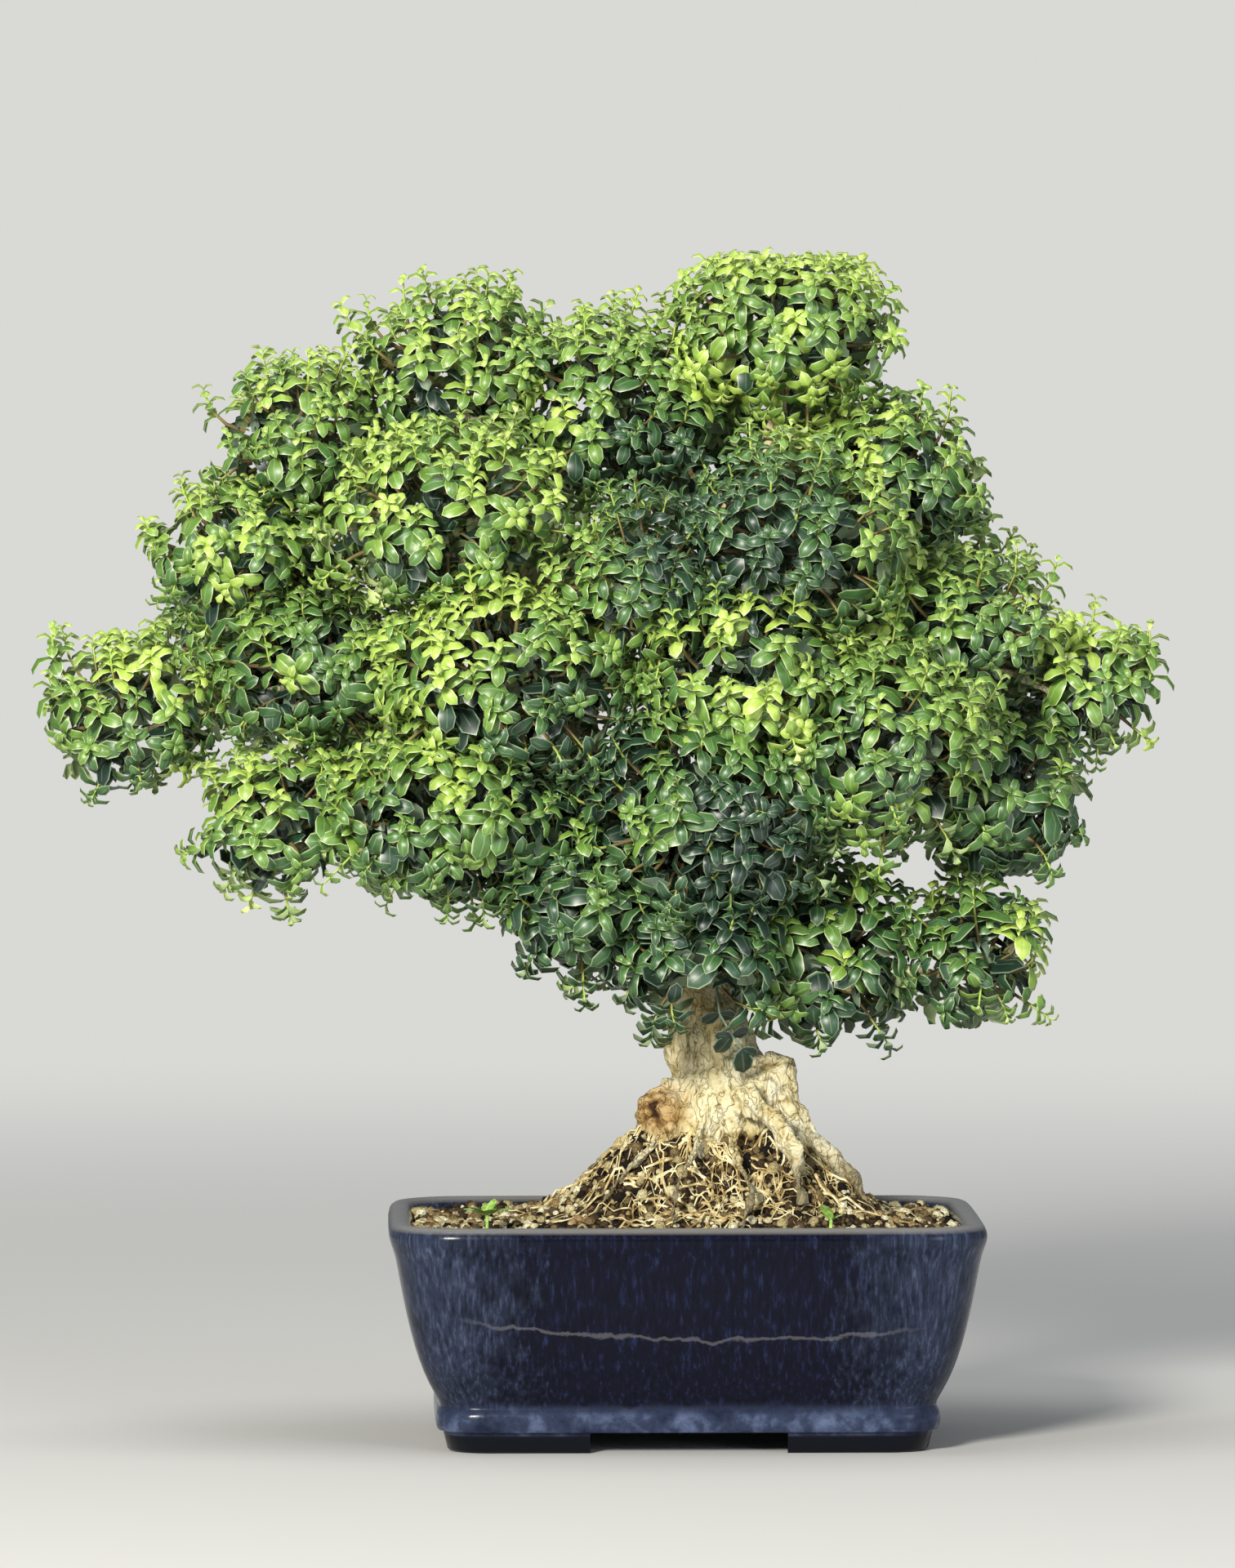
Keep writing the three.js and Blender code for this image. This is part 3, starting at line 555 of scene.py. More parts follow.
def kept_aside(title, pieces):
    """Shapes for a tree to repeat, in a collection that isn't part of the scene."""
    collection = bpy.data.collections.new(title)
    for piece in pieces:
        in_scene.unlink(piece)
        collection.objects.link(piece)
    return collection


def grain_shape(index):
    """A worn grain: a ball of 20 faces with its corners pushed in and out."""
    shape = new_piece(f"grain_{index}")
    with opened(shape.data) as work:
        bmesh.ops.create_icosphere(work, subdivisions=1, radius=1)
        for vertex in work.verts:
            vertex.co *= 1 + 0.4 * noise.noise(vertex.co * 1.7 + Vector((index * 5.3, 1, 2)))
            vertex.co.z *= 0.85
    shape.data.shade_smooth()
    return shape


def grain_tree():
    tree, given, n = new_tree(
        "grains_on_soil", Shapes="Collection", Spacing="Float", Smallest="Float", Largest="Float",
        Middle="Vector", Material="Material", Seed="Int")
    upward = n("SeparateXYZ", n("InputNormal"), out=2)
    on_top = n("Compare.GREATER_THAN", upward, 0.3)
    points = n("DistributePointsOnFaces", Mesh=given["Geometry"], Selection=on_top,
               Distance_Min=given["Spacing"], Density_Max=600000.0, Seed=given["Seed"],
               distribute_method="POISSON")
    # Dark crumbs lie on the mound, and the paler grains round it.
    away = n("VectorMath.DISTANCE", n("InputPosition"), given["Middle"], out="Value")
    palest = n("MapRange", away, DARK_WITHIN * MM, PALE_BEYOND * MM, 0.5, 1.0)
    shade = n("RandomValue", {3: palest}, Seed=4, out=1)
    points = n("StoreNamedAttribute", points, Name="shade", Value=shade)
    shapes = n("CollectionInfo", Collection=given["Shapes"], Separate_Children=True, Reset_Children=True)
    pick = n("RandomValue.INT", {4: 0, 5: 99}, Seed=8, out=2)
    spin = n("RandomValue.FLOAT_VECTOR", {1: (6.28, 6.28, 6.28)}, Seed=5)
    rare = n("Math.POWER", n("RandomValue", Seed=6, out=1), 3.0)
    size = n("MapRange", rare, 0.0, 1.0, given["Smallest"], given["Largest"])
    grains = n("InstanceOnPoints", Points=points, Instance=shapes, Pick_Instance=True, Instance_Index=pick,
               Rotation=spin, Scale=size)
    return end_tree(tree, n, grains, given["Material"])


def grain_mix():
    # Broken pumice, lava and low-fired clay: dull cream, tan, brown and near black, with 0.6 mm pores.
    material, n = new_material("pumice_and_lava_grains", Roughness=0.92, Specular_IOR_Level=0.25)
    shade = n("Attribute", out="Fac", attribute_name="shade")
    pores = n("TexNoise", Vector=n("TexCoord", out="Object"), Scale=1 / (0.6 * MM), Detail=4.0)
    stone = n("ValToRGB", shade, stops=[
        (0.0, "#1c1510"), (0.14, "#4a3a26"), (0.26, "#7d6b48"), (0.4, "#b8aa7c"), (0.56, "#dcd2a4"),
        (0.72, "#5d4c3a"), (0.8, "#f0eac8"), (0.92, "#a88c60")])
    stone.node.color_ramp.interpolation = "CONSTANT"
    worn = n("ValToRGB", pores, stops=[(0.3, "#6f685c"), (0.6, "#ffffff")])
    colour = n("Mix.RGBA", {0: 0.8, 6: stone, 7: worn}, out=2, blend_type="MULTIPLY")
    bump = n("Bump", Strength=0.9, Distance=0.5 * MM, Height=pores)
    return drive(material, Base_Color=colour, Normal=bump)


grain_shapes = kept_aside("grain_shapes", [grain_shape(i) for i in range(5)])
grain_finish = grain_mix()
grains = run_tree(
    grain_tree(), "soil_grains", soil_piece.data, Shapes=grain_shapes, Spacing=GRAIN_SPACING * MM,
    Smallest=GRAIN_SIZES[0] * MM, Largest=GRAIN_SIZES[1] * MM, Middle=on_pot(*MOUND_CENTRE, 80),
    Material=grain_finish, Seed=3)
finish_piece(grains, grain_finish, "soil")

# The fine roots
# Feeder roots from hair-thin to 1.5 mm, cream and woody. They grew out round the trunk's foot, tangle over
# the mound, and run on into the soil.
ROOT_COUNT = 620
ROOT_POINTS = 11
ROOT_AREA = (13, 39)  # distances from the mound's middle where they start, mm
ROOT_MARGIN = 9  # from the pot's outside, mm
ROOT_LENGTH = 14
ROOT_RADIUS = 0.6
ROOT_SWING = 22  # how far a root's end wanders off
ROOT_LOWEST, ROOT_HIGHEST = -0.5, 2.6  # how far under and over the soil a root runs


def root_tree():
    tree, given, n = new_tree(
        "fine_roots", Ground="Object", Middle="Vector", Low="Vector", High="Vector", Length="Float",
        Radius="Float", Material="Material")
    here = n("InputPosition")
    away = n("VectorMath.SUBTRACT", here, given["Middle"])
    outward = n("VectorMath.NORMALIZE", n("VectorMath.MULTIPLY", away, (1, 1, 0)))
    stray = n("RandomValue.FLOAT_VECTOR", (-3.5, -2.5, 0), (3.5, 2.5, 0), Seed=20)
    heading = n("VectorMath.NORMALIZE", n("VectorMath.ADD", outward, stray))
    girth = n("Math.POWER", n("RandomValue", Seed=22, out=1), 4.0)
    longer = n("Math.ADD", girth, n("RandomValue", {2: 0.3, 3: 1.0}, Seed=21, out=1))
    run = n("VectorMath.SCALE", heading, Scale=n("Math.MULTIPLY", longer, given["Length"]))
    points = n("MeshToPoints", Mesh=given["Geometry"])
    points = n("StoreNamedAttribute.FLOAT_VECTOR", points, Name="start", Value=here)
    points = n("StoreNamedAttribute.FLOAT_VECTOR", points, Name="run", Value=run)
    points = n("StoreNamedAttribute", points, Name="girth", Value=girth)
    line = n("ResampleCurve", Curve=n("CurvePrimitiveLine"), Count=ROOT_POINTS)
    lines = n("RealizeInstances", n("InstanceOnPoints", Points=points, Instance=line))

    along = n("SplineParameter")
    start = n("InputNamedAttribute.FLOAT_VECTOR", Name="start")
    gone = n("VectorMath.SCALE", n("InputNamedAttribute.FLOAT_VECTOR", Name="run"), Scale=along)
    straight = n("VectorMath.ADD", start, gone)
    wander = n("TexNoise", Vector=straight, Scale=1 / (6 * MM), out="Color")
    centred = n("VectorMath.SUBTRACT", wander, (0.5, 0.5, 0.5))
    shift = n("VectorMath.SCALE", centred, Scale=n("Math.MULTIPLY", along, ROOT_SWING * MM))
    wandered = n("VectorMath.ADD", straight, shift)
    # Each point of a root stays in the pot, and is laid on the soil under it or a little above.
    kept_in = n("VectorMath.MAXIMUM", wandered, given["Low"])
    kept_in = n("VectorMath.MINIMUM", kept_in, given["High"])
    over = n("VectorMath.MULTIPLY_ADD", kept_in, (1, 1, 0), (0, 0, 0.2))
    ground = n("ObjectInfo", Object=given["Ground"], out="Geometry")
    fall = n("Raycast", Target_Geometry=ground, Source_Position=over, Ray_Direction=(0, 0, -1),
             Ray_Length=0.19, out="Hit Position")
    bob = n("TexNoise", Vector=over, Scale=1 / (4 * MM), Detail=1.0)
    raised = n("MapRange", bob, 0.35, 0.7, ROOT_LOWEST * MM, ROOT_HIGHEST * MM)
    laid = n("VectorMath.ADD", fall, n("CombineXYZ", {2: raised}))
    lines = n("SetPosition", Geometry=lines, Position=laid)
    thickest = n("MapRange", n("InputNamedAttribute", Name="girth"), 0.0, 1.0, 0.32, 1.0)
    share = n("Math.MULTIPLY", thickest, n("MapRange", along, 0.0, 1.0, 1.0, 0.4))
    radius = n("Math.MULTIPLY", share, given["Radius"])
    section = n("CurvePrimitiveCircle", Resolution=4, Radius=1.0)
    tubes = n("CurveToMesh", Curve=lines, Profile_Curve=section, Scale=radius, Fill_Caps=True)
    return end_tree(tree, n, tubes, given["Material"])


def root_starts():
    """Loose points round the foot of the trunk, where the fine roots come out."""
    random = np.random.default_rng(12)
    mesh = bpy.data.meshes.new("root_starts")
    points = []
    for _ in range(ROOT_COUNT):
        angle, far = random.uniform(0, 2 * math.pi), random.uniform(*ROOT_AREA)
        x = MOUND_CENTRE[0] + far * math.cos(angle)
        y = MOUND_CENTRE[1] + far * math.sin(angle)
        points.append(on_pot(x, y, soil_height(x, y)))
    mesh.from_pydata(points, [], [])
    return mesh


# Young feeder roots: smooth, dull and cream, with soil stuck to them every few mm.
root_finish = flecked("feeder_root", 3.3, [(0.34, "#7d6740"), (0.48, "#cdb880"), (0.62, "#f3e9bd")],
                      Roughness=0.8, Specular_IOR_Level=0.3)
margin = Vector((ROOT_MARGIN, ROOT_MARGIN, 0)) * MM
fine_roots = run_tree(
    root_tree(), "fine_roots", root_starts(), Ground=soil_piece, Middle=on_pot(*MOUND_CENTRE, 0),
    Low=pot_low + margin, High=pot_high - margin, Length=ROOT_LENGTH * MM, Radius=ROOT_RADIUS * MM,
    Material=root_finish)
fine_roots.data.shade_smooth()
finish_piece(fine_roots, root_finish, "bark")

# The leaves
# Kingsville boxwood grows dense pads of short shoots. Each shoot carries crosswise pairs of small leathery
# leaves, which arch back and are pale at the rim: yellow green at the tips, deep blue green within.


def leaf_shape(name, half_width, rise, fall, cup, stations=((0.16, 0.62), (0.48, 1.0), (0.82, 0.8))):
    """A leaf of length 1 along +X, facing +Z: an arched midrib with a thin closed blade.

    The midrib leaves the stalk at the angle rise, and its tip points down at the angle fall, in degrees.
    The cup is how far the rims hang below the midrib, as a share of the half width. A station is a place
    along the leaf with its share of the half width.
    """
    steps = 24
    rib = [(Vector((0, 0, 0)), math.radians(rise))]
    for k in range(steps):
        angle = math.radians(rise - (rise + fall) * (k + 0.5) / steps)
        rib.append((rib[-1][0] + Vector((math.cos(angle), 0, math.sin(angle))) / steps, angle))
    points, places = [rib[0][0]], [(None, 0)]
    for t, share in stations:
        middle, angle = rib[round(t * steps)]
        upward = Vector((-math.sin(angle), 0, math.cos(angle)))
        reach = half_width * share
        rim = middle - upward * cup * reach
        points += [middle + upward * 0.012, rim + Vector((0, reach, 0)), rim - Vector((0, reach, 0)),
                   middle - upward * 0.03]
        places += [(0.5, t), (1, t), (0, t), (0.5, t)]
    points.append(rib[-1][0])
    places.append((None, 1))
    tip = len(points) - 1
    top = [(0, 3, 1), (0, 1, 2)]
    for a in range(1, 4 * len(stations) - 4, 4):
        top += [(a, a + 2, a + 6, a + 4), (a + 1, a, a + 4, a + 5)]
    top += [(tip - 4, tip - 2, tip), (tip - 3, tip - 4, tip)]
    under = {1 + 4 * k: 4 + 4 * k for k in range(len(stations))}
    bottom = [tuple(under.get(p, p) for p in reversed(face)) for face in top]
    leaf = new_piece(name, points, top + bottom)
    leaf_map = leaf.data.uv_layers.new(name="UVMap")
    for face in leaf.data.polygons:
        # At its two ends the leaf's map has the side of the rim beside it, so the rim's line goes all round.
        side = [places[p][0] for p in face.vertices if places[p][0] in (0, 1)][0]
        below = 1.05 if face.index >= len(top) else 0
        for corner in face.loop_indices:
            across, along = places[leaf.data.loops[corner].vertex_index]
            leaf_map.data[corner].uv = (side if across is None else across, along + below)
    sharpen(leaf, 75)
    return leaf


def shoot_tree():
    """The leaves or the twigs of a pad, grown out of the skin of its body."""
    tree, given, n = new_tree(
        "leafy_shoots", Leaves="Collection", Spacing="Float", Reach="Float", Length="Float", Heart="Vector",
        Low="Vector", High="Vector", Tone="Float", Vigorous="Object", Sheltered="Object", Twigs="Bool",
        Material="Material", Seed="Int")
    here = n("InputPosition")
    clumps = n("TexNoise", Vector=here, Scale=1 / (CLUMP_SIZE * MM))
    dense = n("MapRange", clumps, 0.3, 0.45, 0.4, 1.0)
    points, normal = n(
        "DistributePointsOnFaces", Mesh=given["Geometry"], Distance_Min=given["Spacing"], Density_Max=60000.0,
        Density_Factor=dense, Seed=given["Seed"], distribute_method="POISSON", out=None).outputs[:2]
    points = n("StoreNamedAttribute.FLOAT_VECTOR", points, Name="outward", Value=normal)

    # A shoot starts inside the pad, bends at its skin, and stands out of it with some pull to the light.
    outward = n("InputNamedAttribute.FLOAT_VECTOR", Name="outward")
    stray = n("RandomValue.FLOAT_VECTOR", (-0.5, -0.5, -0.25), (0.5, 0.5, 0.45), Seed=1)
    upward = n("SeparateXYZ", outward, out=2)
    pull = n("MapRange", upward, -0.8, -0.1, 0.0, 2.2)
    lit = n("VectorMath.ADD", outward, n("CombineXYZ", {2: pull}))
    grow = n("VectorMath.NORMALIZE", n("VectorMath.ADD", lit, stray))
    uneven = n("RandomValue", {2: 0.6, 3: 1.15}, Seed=2, out=1)
    clumped = n("MapRange", clumps, 0.3, 0.7, 0.4, 1.6)
    length = n("Math.MULTIPLY", n("Math.MULTIPLY", uneven, clumped), given["Reach"])
    inward = n("VectorMath.SUBTRACT", given["Heart"], here)
    depth = n("RandomValue", {2: 0.3, 3: 0.5}, Seed=3, out=1)
    root = n("VectorMath.ADD", here, n("VectorMath.SCALE", inward, Scale=depth))
    bend = n("VectorMath.ADD", here, n("VectorMath.SCALE", stray, Scale=SHOOT_SWAY * MM))
    end = n("VectorMath.ADD", here, n("VectorMath.SCALE", grow, Scale=length))
    end = n("VectorMath.MAXIMUM", end, given["Low"])
    end = n("VectorMath.MINIMUM", end, given["High"])
    for title, content in {"root": root, "bend": bend, "tip": end}.items():
        points = n("StoreNamedAttribute.FLOAT_VECTOR", points, Name=title, Value=content)

    # A shoot takes its pad's tone, yellower in some clumps and brightest where it is strong. It is a little
    # yellower on top and darker underneath, painted light from above, and darker in the crown's hollows,
    # painted shade.
    top_lit_tone = n("Math.MULTIPLY_ADD", upward, 0.1, given["Tone"])
    patchy = n("Math.MULTIPLY_ADD", clumps, 0.7, top_lit_tone)
    vigour = n("Math.POWER", n("RandomValue", Seed=4, out=1), 5.0)
    tone = n("Math.SUBTRACT", n("Math.MULTIPLY_ADD", vigour, 0.35, patchy), 0.3)
    flattened = n("VectorMath.MULTIPLY", here, FLATTENED)
    # Spots brighten or darken the shoots near them, and the darkening in the hollows is painted shade.
    for title, (near, far, change) in SPOT_EFFECTS.items():
        spots = n("ObjectInfo", Object=given[title], out="Geometry")
        off = n("Proximity", spots, Sample_Position=flattened, out="Distance", target_element="POINTS")
        tone = n("Math.ADD", tone, n("MapRange", off, near * MM, far * MM, change, 0.0))
    spin = n("RandomValue", {3: 2 * math.pi}, Seed=5, out=1)
    size = n("RandomValue", {2: 0.85, 3: 1.15}, Seed=6, out=1)
    for title, content in {"tone": tone, "spin": spin, "size": size}.items():
        points = n("StoreNamedAttribute", points, Name=title, Value=content)

    line = n("ResampleCurve", Curve=n("CurvePrimitiveLine"), Count=9)
    stems = n("RealizeInstances", n("InstanceOnPoints", Points=points, Instance=line))
    along, _, index = n("SplineParameter", out=None).outputs
    kept = {title: n("InputNamedAttribute", Name=title) for title in ("tone", "spin", "size", "age")}
    root, bend, end = [n("InputNamedAttribute.FLOAT_VECTOR", Name=title) for title in ("root", "bend", "tip")]
    first = n("Mix.VECTOR", {0: along, 4: root, 5: bend}, out=1)
    second = n("Mix.VECTOR", {0: along, 4: bend, 5: end}, out=1)
    path = n("Mix.VECTOR", {0: along, 4: first, 5: second}, out=1)
    stems = n("SetPosition", Geometry=stems, Position=path)
    stems = n("StoreNamedAttribute", stems, Name="age", Value=along)
    section = n("CurvePrimitiveCircle", Resolution=3, Radius=1.0)
    girth = n("MapRange", along, 0.0, 1.0, TWIG_FOOT * MM, TWIG_TIP * MM)
    plain = n("ResampleCurve", Curve=stems, Count=4)
    twigs = n("CurveToMesh", Curve=plain, Profile_Curve=section, Scale=girth, Fill_Caps=True)

    # Leaves stand in opposite pairs, each crosswise to the pair below, and rise towards the tip. Shape 0 is
    # the youngest leaf and shape 2 the oldest.
    shapes = n("CollectionInfo", Collection=given["Leaves"], Separate_Children=True, Reset_Children=True)
    leafy = n("MapRange", along, LEAFLESS, 1.0)
    bears = n("Compare.GREATER_THAN", along, LEAFLESS)
    upright = n("AlignRotationToVector", Vector=n("InputTangent"), axis="Z")
    shrink = n("MapRange", n("Math.POWER", leafy, 2.5), 0.0, 1.0, 1.0, 0.62)
    own = n("Math.MULTIPLY", n("Math.MULTIPLY", shrink, kept["size"]), given["Length"])
    younger = n("Math.MULTIPLY_ADD", kept["age"], 0.6, kept["tone"])
    rising = n("MapRange", leafy, 0.0, 1.0, 0.0, 0.6)
    old = n("MapRange", leafy, 0.0, 1.0, 2.3, 0.0)
    crosswise = n("Math.MULTIPLY_ADD", index, math.pi / 2, kept["spin"])
    grown = []
    for side in (0, 1):
        jitter = [n("RandomValue", {2: -1.0, 3: 1.0}, Seed=10 + 2 * k + side, out=1) for k in range(5)]
        turn = n("Math.ADD", n("Math.MULTIPLY_ADD", jitter[0], 0.3, crosswise), side * math.pi)
        lean = n("Math.MULTIPLY_ADD", jitter[1], 0.25, rising)
        turned = n("AxisAngleToRotation", Axis=(0, 0, 1), Angle=turn)
        raised = n("AxisAngleToRotation", Axis=(0, -1, 0), Angle=lean)
        stance = n("RotateRotation", turned, raised, rotation_space="LOCAL")
        stance = n("RotateRotation", stance, upright, rotation_space="GLOBAL")
        scale = n("Math.MULTIPLY", own, n("Math.MULTIPLY_ADD", jitter[2], 0.15, 1.0))
        older = n("Math.MULTIPLY_ADD", jitter[3], 0.5, old)
        pick = n("Math.FLOOR", n("Clamp", older, 0.0, 2.9))
        pair = n("InstanceOnPoints", Points=stems, Selection=bears, Instance=shapes, Pick_Instance=True,
                 Instance_Index=pick, Rotation=stance, Scale=scale)
        toned = n("Math.SUBTRACT", n("Math.MULTIPLY_ADD", jitter[4], 0.08, younger), 0.42)
        grown.append(n("StoreNamedAttribute", pair, Name="tone", Value=toned, domain="INSTANCE"))

    # Old leaves, broad and in no order, fill the pad under its skin. Their deep tone is partly their age and
    # partly painted shade in the pad's depths.
    closer = n("Math.MULTIPLY", given["Spacing"], 0.55)
    within = n("DistributePointsOnFaces", Mesh=given["Geometry"], Distance_Min=closer, Density_Max=40000.0,
               Seed=7, distribute_method="POISSON")
    sunk = n("RandomValue", {2: 0.15, 3: 0.45}, Seed=31, out=1)
    within = n("SetPosition", Geometry=within, Offset=n("VectorMath.SCALE", inward, Scale=sunk))
    facing = n("RandomValue.FLOAT_VECTOR", (-1.2, -1.2, 0), (1.2, 1.2, 2 * math.pi), Seed=32)
    broad = n("Math.MULTIPLY", n("RandomValue", {2: 0.85, 3: 1.25}, Seed=33, out=1), given["Length"])
    old_leaves = n("InstanceOnPoints", Points=within, Instance=shapes, Pick_Instance=True, Instance_Index=3,
                   Rotation=facing, Scale=broad)
    old_and_shaded_tone = n("RandomValue", {2: -0.3, 3: 0.2}, Seed=34, out=1)
    old_leaves = n("StoreNamedAttribute", old_leaves, Name="tone", Value=old_and_shaded_tone, domain="INSTANCE")
    foliage = n("JoinGeometry", old_leaves)
    for pair in grown:
        tree.links.new(pair, foliage.node.inputs[0])
    choice = n("Switch", {"Switch": given["Twigs"], "False": foliage, "True": twigs})
    return end_tree(tree, n, choice, given["Material"])


def leaf_skin():
    # A living boxwood leaf: leathery, with a waxy top that gives a broad pale sheen, a pale rim that is
    # partly its cartilage edge and partly a painted highlight, and a duller, lighter underside. Young leaves
    # are yellow green, and old ones deep blue green.
    material, n = new_material("waxy_boxwood_leaf", IOR=1.45, Specular_IOR_Level=1.0)
    tone = n("Attribute", out="Fac", attribute_name="tone")
    across, along, _ = n("SeparateXYZ", n("UVMap", uv_map="UVMap"), out=None).outputs
    off_rib = n("Math.ABSOLUTE", n("Math.SUBTRACT", across, 0.5))
    below = n("Math.GREATER_THAN", along, 1.02)
    leaf = n("ValToRGB", tone, stops=[
        (0.0, "#1a3327"), (0.25, "#2d5436"), (0.5, "#4d7a38"), (0.75, "#78a23e"), (1.0, "#bddc5e")])
    patches = n("TexNoise", Vector=n("TexCoord", out="Object"), Scale=1 / (2 * MM), Detail=3.0)
    uneven = n("ValToRGB", patches, stops=[(0.3, "#c9c9c9"), (0.7, "#ffffff")])
    pale = n("ValToRGB", tone, stops=[(0.0, "#9ab496"), (0.6, "#dcebae"), (1.0, "#f4fbc0")])
    # The rim is partly the leaf's pale cartilage edge and partly a painted highlight.
    rim = n("MapRange", off_rib, 0.4, 0.5, 0.0, 0.75)
    rib = n("MapRange", off_rib, 0.05, 0.01, 0.0, 0.2)
    colour = leaf
    for share, over, blend in ((0.7, uneven, "MULTIPLY"), (n("Math.MAXIMUM", rim, rib), pale, "MIX"),
                               (n("Math.MULTIPLY", below, 0.45), pale, "MIX")):
        colour = n("Mix.RGBA", {0: share, 6: colour, 7: over}, out=2, blend_type=blend)
    return drive(material, Base_Color=colour, Roughness=n("MapRange", below, 0.0, 1.0, 0.42, 0.62))


def twig_bark():
    # Twigs: tan and woody inside the pad, pale yellow green and soft where they grow.
    material, n = new_material("young_boxwood_twig", Roughness=0.7, Specular_IOR_Level=0.35)
    age = n("Attribute", out="Fac", attribute_name="age")
    return drive(material, Base_Color=n("ValToRGB", age, stops=[
        (0.35, "#7b6a45"), (0.55, "#9a9650"), (0.75, "#b6cf62")]))


# Each pad's tone, from 0, deep blue green, to 1, yellow green, and its leaf length in mm.
# The low pads and those on the right have deeper tones: partly older leaves, and partly painted shade under
# the crown and away from the key light.
PADS = {
    "crown_left": (0.62, 8.2), "crown_middle": (0.58, 8.2), "crown_right": (0.64, 8.2),
    "shoulder_left": (0.6, 8.2), "upper_left": (0.6, 8.2), "low_left_inner": (0.48, 8.6),
    "low_left_tip": (0.56, 8.4), "front_left": (0.64, 8.4), "front_left_low": (0.66, 8.4),
    "front_middle": (0.62, 8.4), "bottom_left_inner": (0.5, 9.2), "bottom_left_tip": (0.6, 8.8),
    "upper_right": (0.46, 8.6), "front_right_high": (0.52, 8.6), "right_inner": (0.5, 8.6),
    "right_tip": (0.55, 8.6), "front_tall": (0.68, 8.8), "front_right_low": (0.45, 9.4),
    "right_middle": (0.5, 9), "bottom_right": (0.36, 9.8), "skirt_left": (0.26, 10.2),
    "skirt_front": (0.2, 10.6), "low_right_inner": (0.28, 10.2), "low_right_tip": (0.36, 10),
    "back_high_left": (0.56, 8.4), "back_high": (0.56, 8.4), "back_high_right": (0.52, 8.6),
    "back_left": (0.5, 8.6), "back_middle": (0.54, 8.6), "back_right": (0.5, 8.6),
    "back_low_left": (0.42, 9.4), "back_low_right": (0.44, 9.2), "back_skirt": (0.32, 10),
}
# Where the strongest young shoots stand, in mm from under the pot's middle.
VIGOROUS = [(32, -25, 265), (7, -24, 268), (14, -72, 207), (22, -74, 192), (34, -38, 122), (83, -30, 119),
            (46, -25, 253), (-78, -60, 238), (-140, -25, 196), (100, -20, 204)]
# Where the crown is hollow: the shoots there are darkened, partly for old leaves and partly as painted shade.
SHADED_HOLLOWS = [(-4, -30, 240), (-2, -30, 226), (20, -30, 228), (-30, -60, 176), (14, -30, 150)]
# How near a spot changes a shoot's tone in full, how far it does at all, in mm, and by how much.
SPOT_EFFECTS = {"Vigorous": (6, 10, 0.4), "Sheltered": (12, 26, -0.45)}
FLATTENED = (1, 0.2, 1)  # a spot's distance counts less in depth than across
SHOOT_REACH = 7.5  # how far the shoots stand out of a pad's body, mm
SHOOT_SPACING = 7.15
BACK_SPACING = 8.6  # the same at the back of the tree, which is looser
CLUMP_SIZE = 16  # of the fuller and the thinner patches of shoots
SHOOT_SWAY = 5
TWIG_FOOT, TWIG_TIP = 0.65, 0.28  # a twig's radius at its two ends
LEAFLESS = 0.45  # the share of a shoot, from its foot, that bears no leaves
TIP_ROOM = 6.5  # kept for shoots and leaves between a pad's body and its box
SLIMMEST = 9  # least half size of a pad's body
CROWN_HEART = (-8, -10, 185)  # the middle of the crown, where the pads grow into one another
FILLING = 12  # how much fuller a pad is there, mm
FILLING_REACH = 80
BROADER = {"bottom_left_tip": 4, "low_right_tip": 2, "low_right_inner": 2, "upper_left": 3, "front_left": 2,
           "low_left_inner": 2}  # mm more on these pads
# The bare neck of the trunk, with no foliage before it: x from and to, then what y and z lie below.
NECK = ((-6, 13), 5, 120)
OUTER_ROOM = Vector((6.5, 6.8, 4.6)) * MM  # for the last leaves between a shoot's tip and the object's box
HIDDEN_SHARE = 0.76  # a pad grows no shoots this deep inside its neighbours, as a share of their half size


def pad_body(name):
    """A pad's middle and half sizes, in metres, without its leaf tips, fuller near the crown's heart."""
    low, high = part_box("foliage_" + name)
    middle = (low + high) / 2
    inward = on_pot(*CROWN_HEART) - middle
    fuller = FILLING * MM * max(0, 1 - inward.length / (FILLING_REACH * MM))
    broader = fuller + BROADER.get(name, 0) * MM
    half = [max(size / 2 - TIP_ROOM * MM, SLIMMEST * MM) + broader for size in high - low]
    return middle + inward.normalized() * broader, Vector(half)


def is_bare(place, others):
    """Whether a pad grows nothing at a place, before the neck or deep inside another pad's body."""
    x, y, z = (place - pot_middle) / MM
    if NECK[0][0] < x < NECK[0][1] and y < NECK[1] and z < NECK[2]:
        return True
    for centre, size in others:
        off = place - centre
        if (off.x / size.x) ** 2 + (off.y / size.y) ** 2 + (off.z / size.z) ** 2 < HIDDEN_SHARE ** 2:
            return True
    return False


def pad_surface(name, seed):
    """The lumpy skin of a pad that its shoots grow from, open where it meets its neighbours."""
    middle, half = pad_body(name)
    low = [edge + room for edge, room in zip(cad_box[0], OUTER_ROOM)]
    high = [edge - room for edge, room in zip(cad_box[1], OUTER_ROOM)]
    shift = Vector((seed * 3.7, 0, 0))
    others = [pad_body(other) for other in PADS if other != name]
    surface = bpy.data.meshes.new("pad_surface")
    with opened(surface) as work:
        bmesh.ops.create_icosphere(work, subdivisions=4, radius=1)
        for vertex in work.verts:
            broad, fine = noise.noise(vertex.co * 1.9 + shift), noise.noise(vertex.co * 4.6 + shift)
            place = middle + vertex.co * half * (1.04 + 0.4 * broad + 0.22 * fine)
            vertex.co = [min(max(place[k], low[k]), high[k]) for k in range(3)]
        covered = [face for face in work.faces if is_bare(face.calc_center_median(), others)]
        bmesh.ops.delete(work, geom=covered, context="FACES")
    return surface


def joined(name, parts):
    """Joins several meshes with the same attributes into one piece."""
    piece = new_piece(name)
    with opened(piece.data) as whole:
        for part in parts:
            whole.from_mesh(part.data)
            bpy.data.objects.remove(part)
    piece.data.shade_smooth()
    return piece


